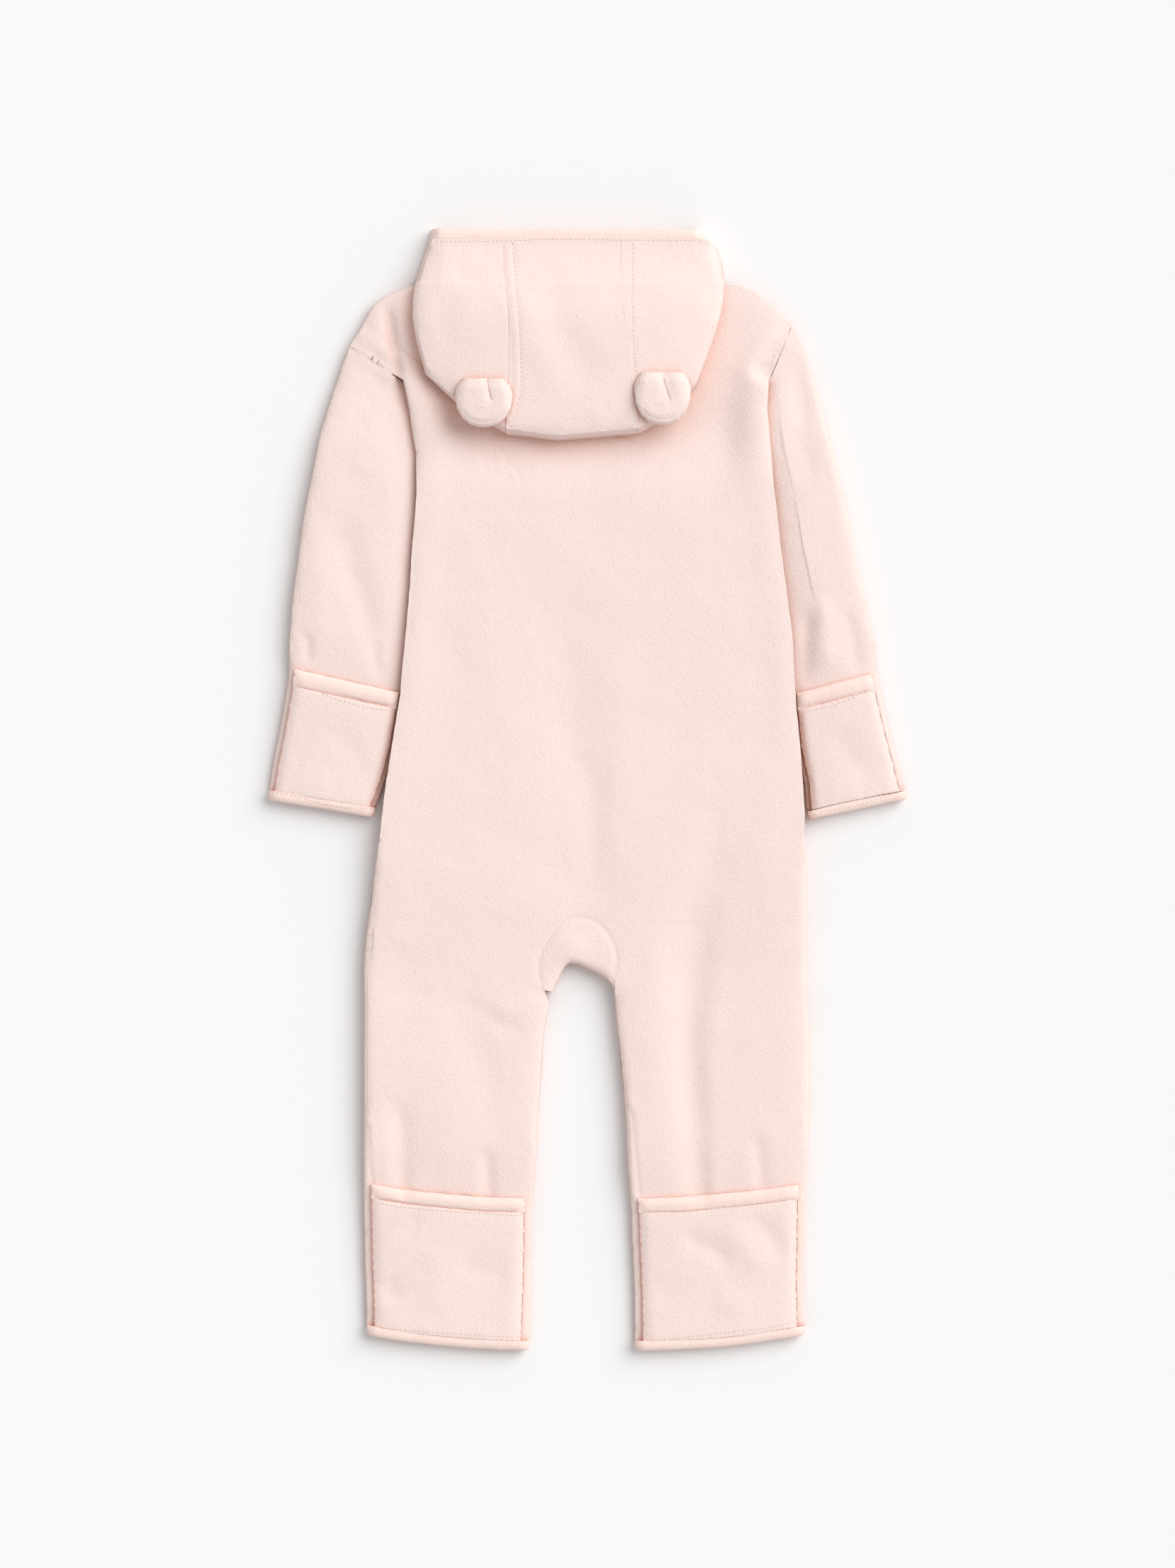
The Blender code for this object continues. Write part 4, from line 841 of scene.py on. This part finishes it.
earFolds = {
    "Left": [
        (-0.9, 0.6, 0.7, [(-59.4, 243.0), (-58.4, 236.0), (-56.2, 228.5)]),
        (0.35, 4.0, 5.0, [(-64.0, 244.0), (-63.0, 234.0), (-61.4, 224.0)]),
        (-0.28, 0.9, 0.9, earRim(-61.0, 242.0, 17.3, 28.2)),
    ],
    "Right": [
        (-0.8, 0.6, 0.6, [(43.8, 243.5), (45.4, 238.0), (48.6, 228.0)]),
        (0.3, 4.0, 4.5, [(39.6, 243.0), (41.4, 236.0), (43.8, 226.0)]),
        (-0.28, 0.9, 0.9, earRim(44.0, 246.0, 17.3, 31.0)),
    ],
}
for side, sewnEdge in (("Left", 242.0), ("Right", 246.0)):
    folds = earFolds[side]

    def creaseEar(places):
        # thin along the edge that is sewn to the hood
        much, reach = hood["earThinning"]
        thin = much * smoothly(places[:, 1], sewnEdge - reach, sewnEdge)
        return creaseHood(places) + foldHeight(places, folds, 0.12, 0.1) - thin

    lieOfEar = (fillHood, creaseEar, 9.0, 12.5)
    sewCloth(
        "ear" + side, "ear_" + side.lower(), hood["ear" + side], lieOfEar, hood["earSpacing"],
        rounds=hood["earRounds"],
    )
print("hood and ears sewn")

bindings = {
    "spacing": 1.6,
    "overlap": 0.5,
    "swell": 0.2,
    "flapOverlap": 0.9,
    "hoodOverlap": 1.1,
    "hoodSwell": 0.12,
    "rounds": 2,
    "hoodBinding": (0.010, 0.19, 0.00175),
    "mittBindingLeft": (0.010, 0.075, 0.00070),
    "mittBindingRight": (0.010, 0.070, 0.00060),
    "cuffBindingLeft": (0.010, 0.135, 0.0012),
    "cuffBindingRight": (0.010, 0.130, 0.0012),
    "bootieBindingLeft": (0.010, 0.100, 0.00095),
    "bootieBindingRight": (0.010, 0.100, 0.00095),
    "legBindingLeft": (0.010, 0.205, 0.0018),
    "legBindingRight": (0.010, 0.205, 0.0019),
}
# the line on which each binding is sewn to the cloth beside it
mittFaces = [
    [(-175.6, 63.8), (-163.4, 59.6), (-148.7, 53.8), (-134.0, 49.1), (-112.1, 46.2)],
    [(123.9, 45.4), (141.5, 48.7), (155.8, 53.8), (170.5, 62.2)],
]
bootieFaces = [
    [(-127.3, -242.8), (-114.2, -246.1), (-80.2, -249.1), (-38.2, -251.6)],
    [(31.5, -248.6), (61.3, -248.6), (94.9, -245.3), (123.5, -239.8)],
]
cuffFaces = [
    [(-187.3, -0.8), (-174.3, -3.4), (-158.8, -7.6), (-142.8, -10.5), (-126.8, -10.9)],
    [(128.5, -12.6), (142.4, -12.2), (161.7, -8.4), (188.2, 0.0)],
]
hemFaces = [
    [(-128.1, -316.7), (-113.0, -318.8), (-79.4, -321.3), (-54.2, -323.0), (-34.4, -323.4)],
    [(29.0, -326.3), (46.6, -324.7), (80.6, -320.9), (109.6, -317.5), (128.1, -313.3)],
]
sewCloth(
    "hoodBinding", "hood_binding", bindings["hoodBinding"], lieOfHood, bindings["spacing"],
    jersey, sewn=hoodFace, overlap=bindings["hoodOverlap"], rounds=bindings["rounds"],
    swell=bindings["hoodSwell"],
)
for kind, lie, faces in (
    ("mitt", lieOfMitt, mittFaces), ("cuff", lieOfMitt, cuffFaces),
    ("bootie", lieOfBootie, bootieFaces), ("leg", lieOfBootie, hemFaces),
):
    for side in ("Left", "Right"):
        name = kind + "Binding" + side
        onFlap = kind in ("mitt", "bootie")
        sewCloth(
            name, f"{kind}_binding_{side.lower()}", bindings[name], lie, bindings["spacing"],
            jersey, sewn=faces, overlap=bindings["flapOverlap" if onFlap else "overlap"],
            rounds=bindings["rounds"], swell=bindings["swell"], sides=flaps["sides"] if onFlap else None,
        )
print("bindings sewn")

# the zip shows only from below
zipSizes = {
    "toothPitch": 1.25,
    "toothLength": 3.0,
    "toothThickness": 0.42,
    "toothHeight": 1.45,    # mm over the surface it lies on
    "toothShift": 0.5,      # mm to one side and the other by turns
    "toothSlant": 0.17,
    "tape": (0.016, 0.36, 0.0055),
}


def capsules(middles, ways, lengths, radius, rise, sides=6):
    # short rounded lengths of thread or coil, one about each middle
    ringShare = np.array([-0.5, -0.36, 0.0, 0.36, 0.5])
    ringSize = np.array([0.35, 0.95, 1.0, 0.95, 0.35])
    ringRise = np.array([-0.9, -0.2, 0.35, -0.2, -0.9]) * rise
    points, faces = [], []
    up = np.array([0.0, 0.0, 1.0])
    for middle, way, length in zip(middles, ways, lengths):
        start = len(points)
        side = np.cross(up, way)
        side /= np.linalg.norm(side)
        lift = np.cross(way, side)
        for share, size, high in zip(ringShare, ringSize, ringRise):
            for turn in range(sides):
                angle = 2 * math.pi * turn / sides
                points.append(
                    middle + way * share * length + lift * high
                    + radius * size * (math.cos(angle) * side + math.sin(angle) * lift)
                )
        for ring in range(4):
            for turn in range(sides):
                one, two = start + ring * sides + turn, start + ring * sides + (turn + 1) % sides
                faces += [(one, one + sides, two), (two, one + sides, two + sides)]
        for ring, flip in ((0, False), (4, True)):
            first = start + ring * sides
            for turn in range(1, sides - 1):
                face = (first, first + turn, first + turn + 1)
                faces.append(face[::-1] if flip else face)
    return np.array(points), np.array(faces)


def makeZip(sizes):
    points, faces = readSolid("zip")
    piece = putPiece("zipTape", points, faces, tape, "zip")
    wide, long, area = sizes["tape"]
    ends = points[np.argsort(points[:, 1])]
    low, high = ends[:4, :2].mean(axis=0), ends[-4:, :2].mean(axis=0)
    count = int(np.linalg.norm(high - low) / sizes["toothPitch"])
    middles, ways = [], []
    for number in range(count):
        spot = low + (high - low) * (number + 0.5) / count
        turn = 1 if number % 2 else -1
        middles.append(np.array([spot[0] + turn * sizes["toothShift"], spot[1], sizes["toothHeight"]]))
        ways.append(np.array([0.985, turn * sizes["toothSlant"], 0.0]))
    coil, coilFaces = capsules(middles, ways, [sizes["toothLength"]] * count, sizes["toothThickness"], -0.1)
    putPiece("zipCoil", coil, coilFaces, thread)
    for node in ("zip_slider", "zip_pull"):
        for place in range(len(nodes[node].material_slots)):
            nodes[node].material_slots[place].material = metal


makeZip(zipSizes)
print("zip made")

stitching = {
    "pitch": 2.7,
    "length": 2.1,
    "thickness": 0.21,
    "waver": 0.12,
    "lengthWaver": 0.12,
    "steepest": 2.2,        # a stitch that would climb more than this is left out
}


def aboveCloth(names):
    points, faces, start = [], [], 0
    for name in names:
        some, around = made[name]
        points.append(some)
        faces.append(around + start)
        start += len(some)
    return BVHTree.FromPolygons(np.concatenate(points).tolist(), np.concatenate(faces).tolist())


def stitchRow(name, lines, cloth, sizes):
    tree = aboveCloth(cloth)
    steady = np.random.default_rng(len(name) * 7 + len(lines))
    middles, ways = [], []
    for line in lines:
        path, _, gone = paced(line)
        count = int(gone[-1] / sizes["pitch"])
        where = (np.arange(count + 1)) * gone[-1] / count
        spots = np.stack([np.interp(where, gone, path[:, 0]), np.interp(where, gone, path[:, 1])], 1)
        spots += steady.normal(0.0, sizes["waver"], spots.shape)
        landed = []
        for spot in spots:
            hit = tree.ray_cast(Vector((spot[0], spot[1], making["farAbove"])), down)[0]
            landed.append(None if hit is None else np.array(hit))
        for one, two in zip(landed[:-1], landed[1:]):
            if one is None or two is None or abs(one[2] - two[2]) > sizes["steepest"]:
                continue
            middles.append((one + two) / 2 + np.array([0.0, 0.0, sizes["thickness"] * 0.4]))
            ways.append((two - one) / np.linalg.norm(two - one))
    lengths = sizes["length"] + steady.normal(0.0, sizes["lengthWaver"], len(middles))
    points, faces = capsules(middles, ways, lengths, sizes["thickness"], sizes["thickness"])
    putPiece(name, points, faces, thread)


hoodCloth = ["hoodLeft", "hoodCentre", "hoodRight", "hoodBinding"]
stitchRow("hoodStitching", [hoodStitchLeft, hoodStitchRight], hoodCloth, stitching)
stitchRow("faceStitching", hoodFace, hoodCloth, stitching)
for name, lines, cloth in (
    ("mittStitching", mittFaces, ("mittBinding", "mittFlap", "sleeve")),
    ("bootieStitching", bootieFaces, ("bootieBinding", "bootieFlap")),
    ("cuffStitching", cuffFaces, ("cuffBinding", "mittFlap")),
    ("hemStitching", hemFaces, ("legBinding", "bootieFlap")),
):
    stitchRow(name, lines, [one + side for one in cloth for side in ("Left", "Right")], stitching)
print("topstitching sewn")
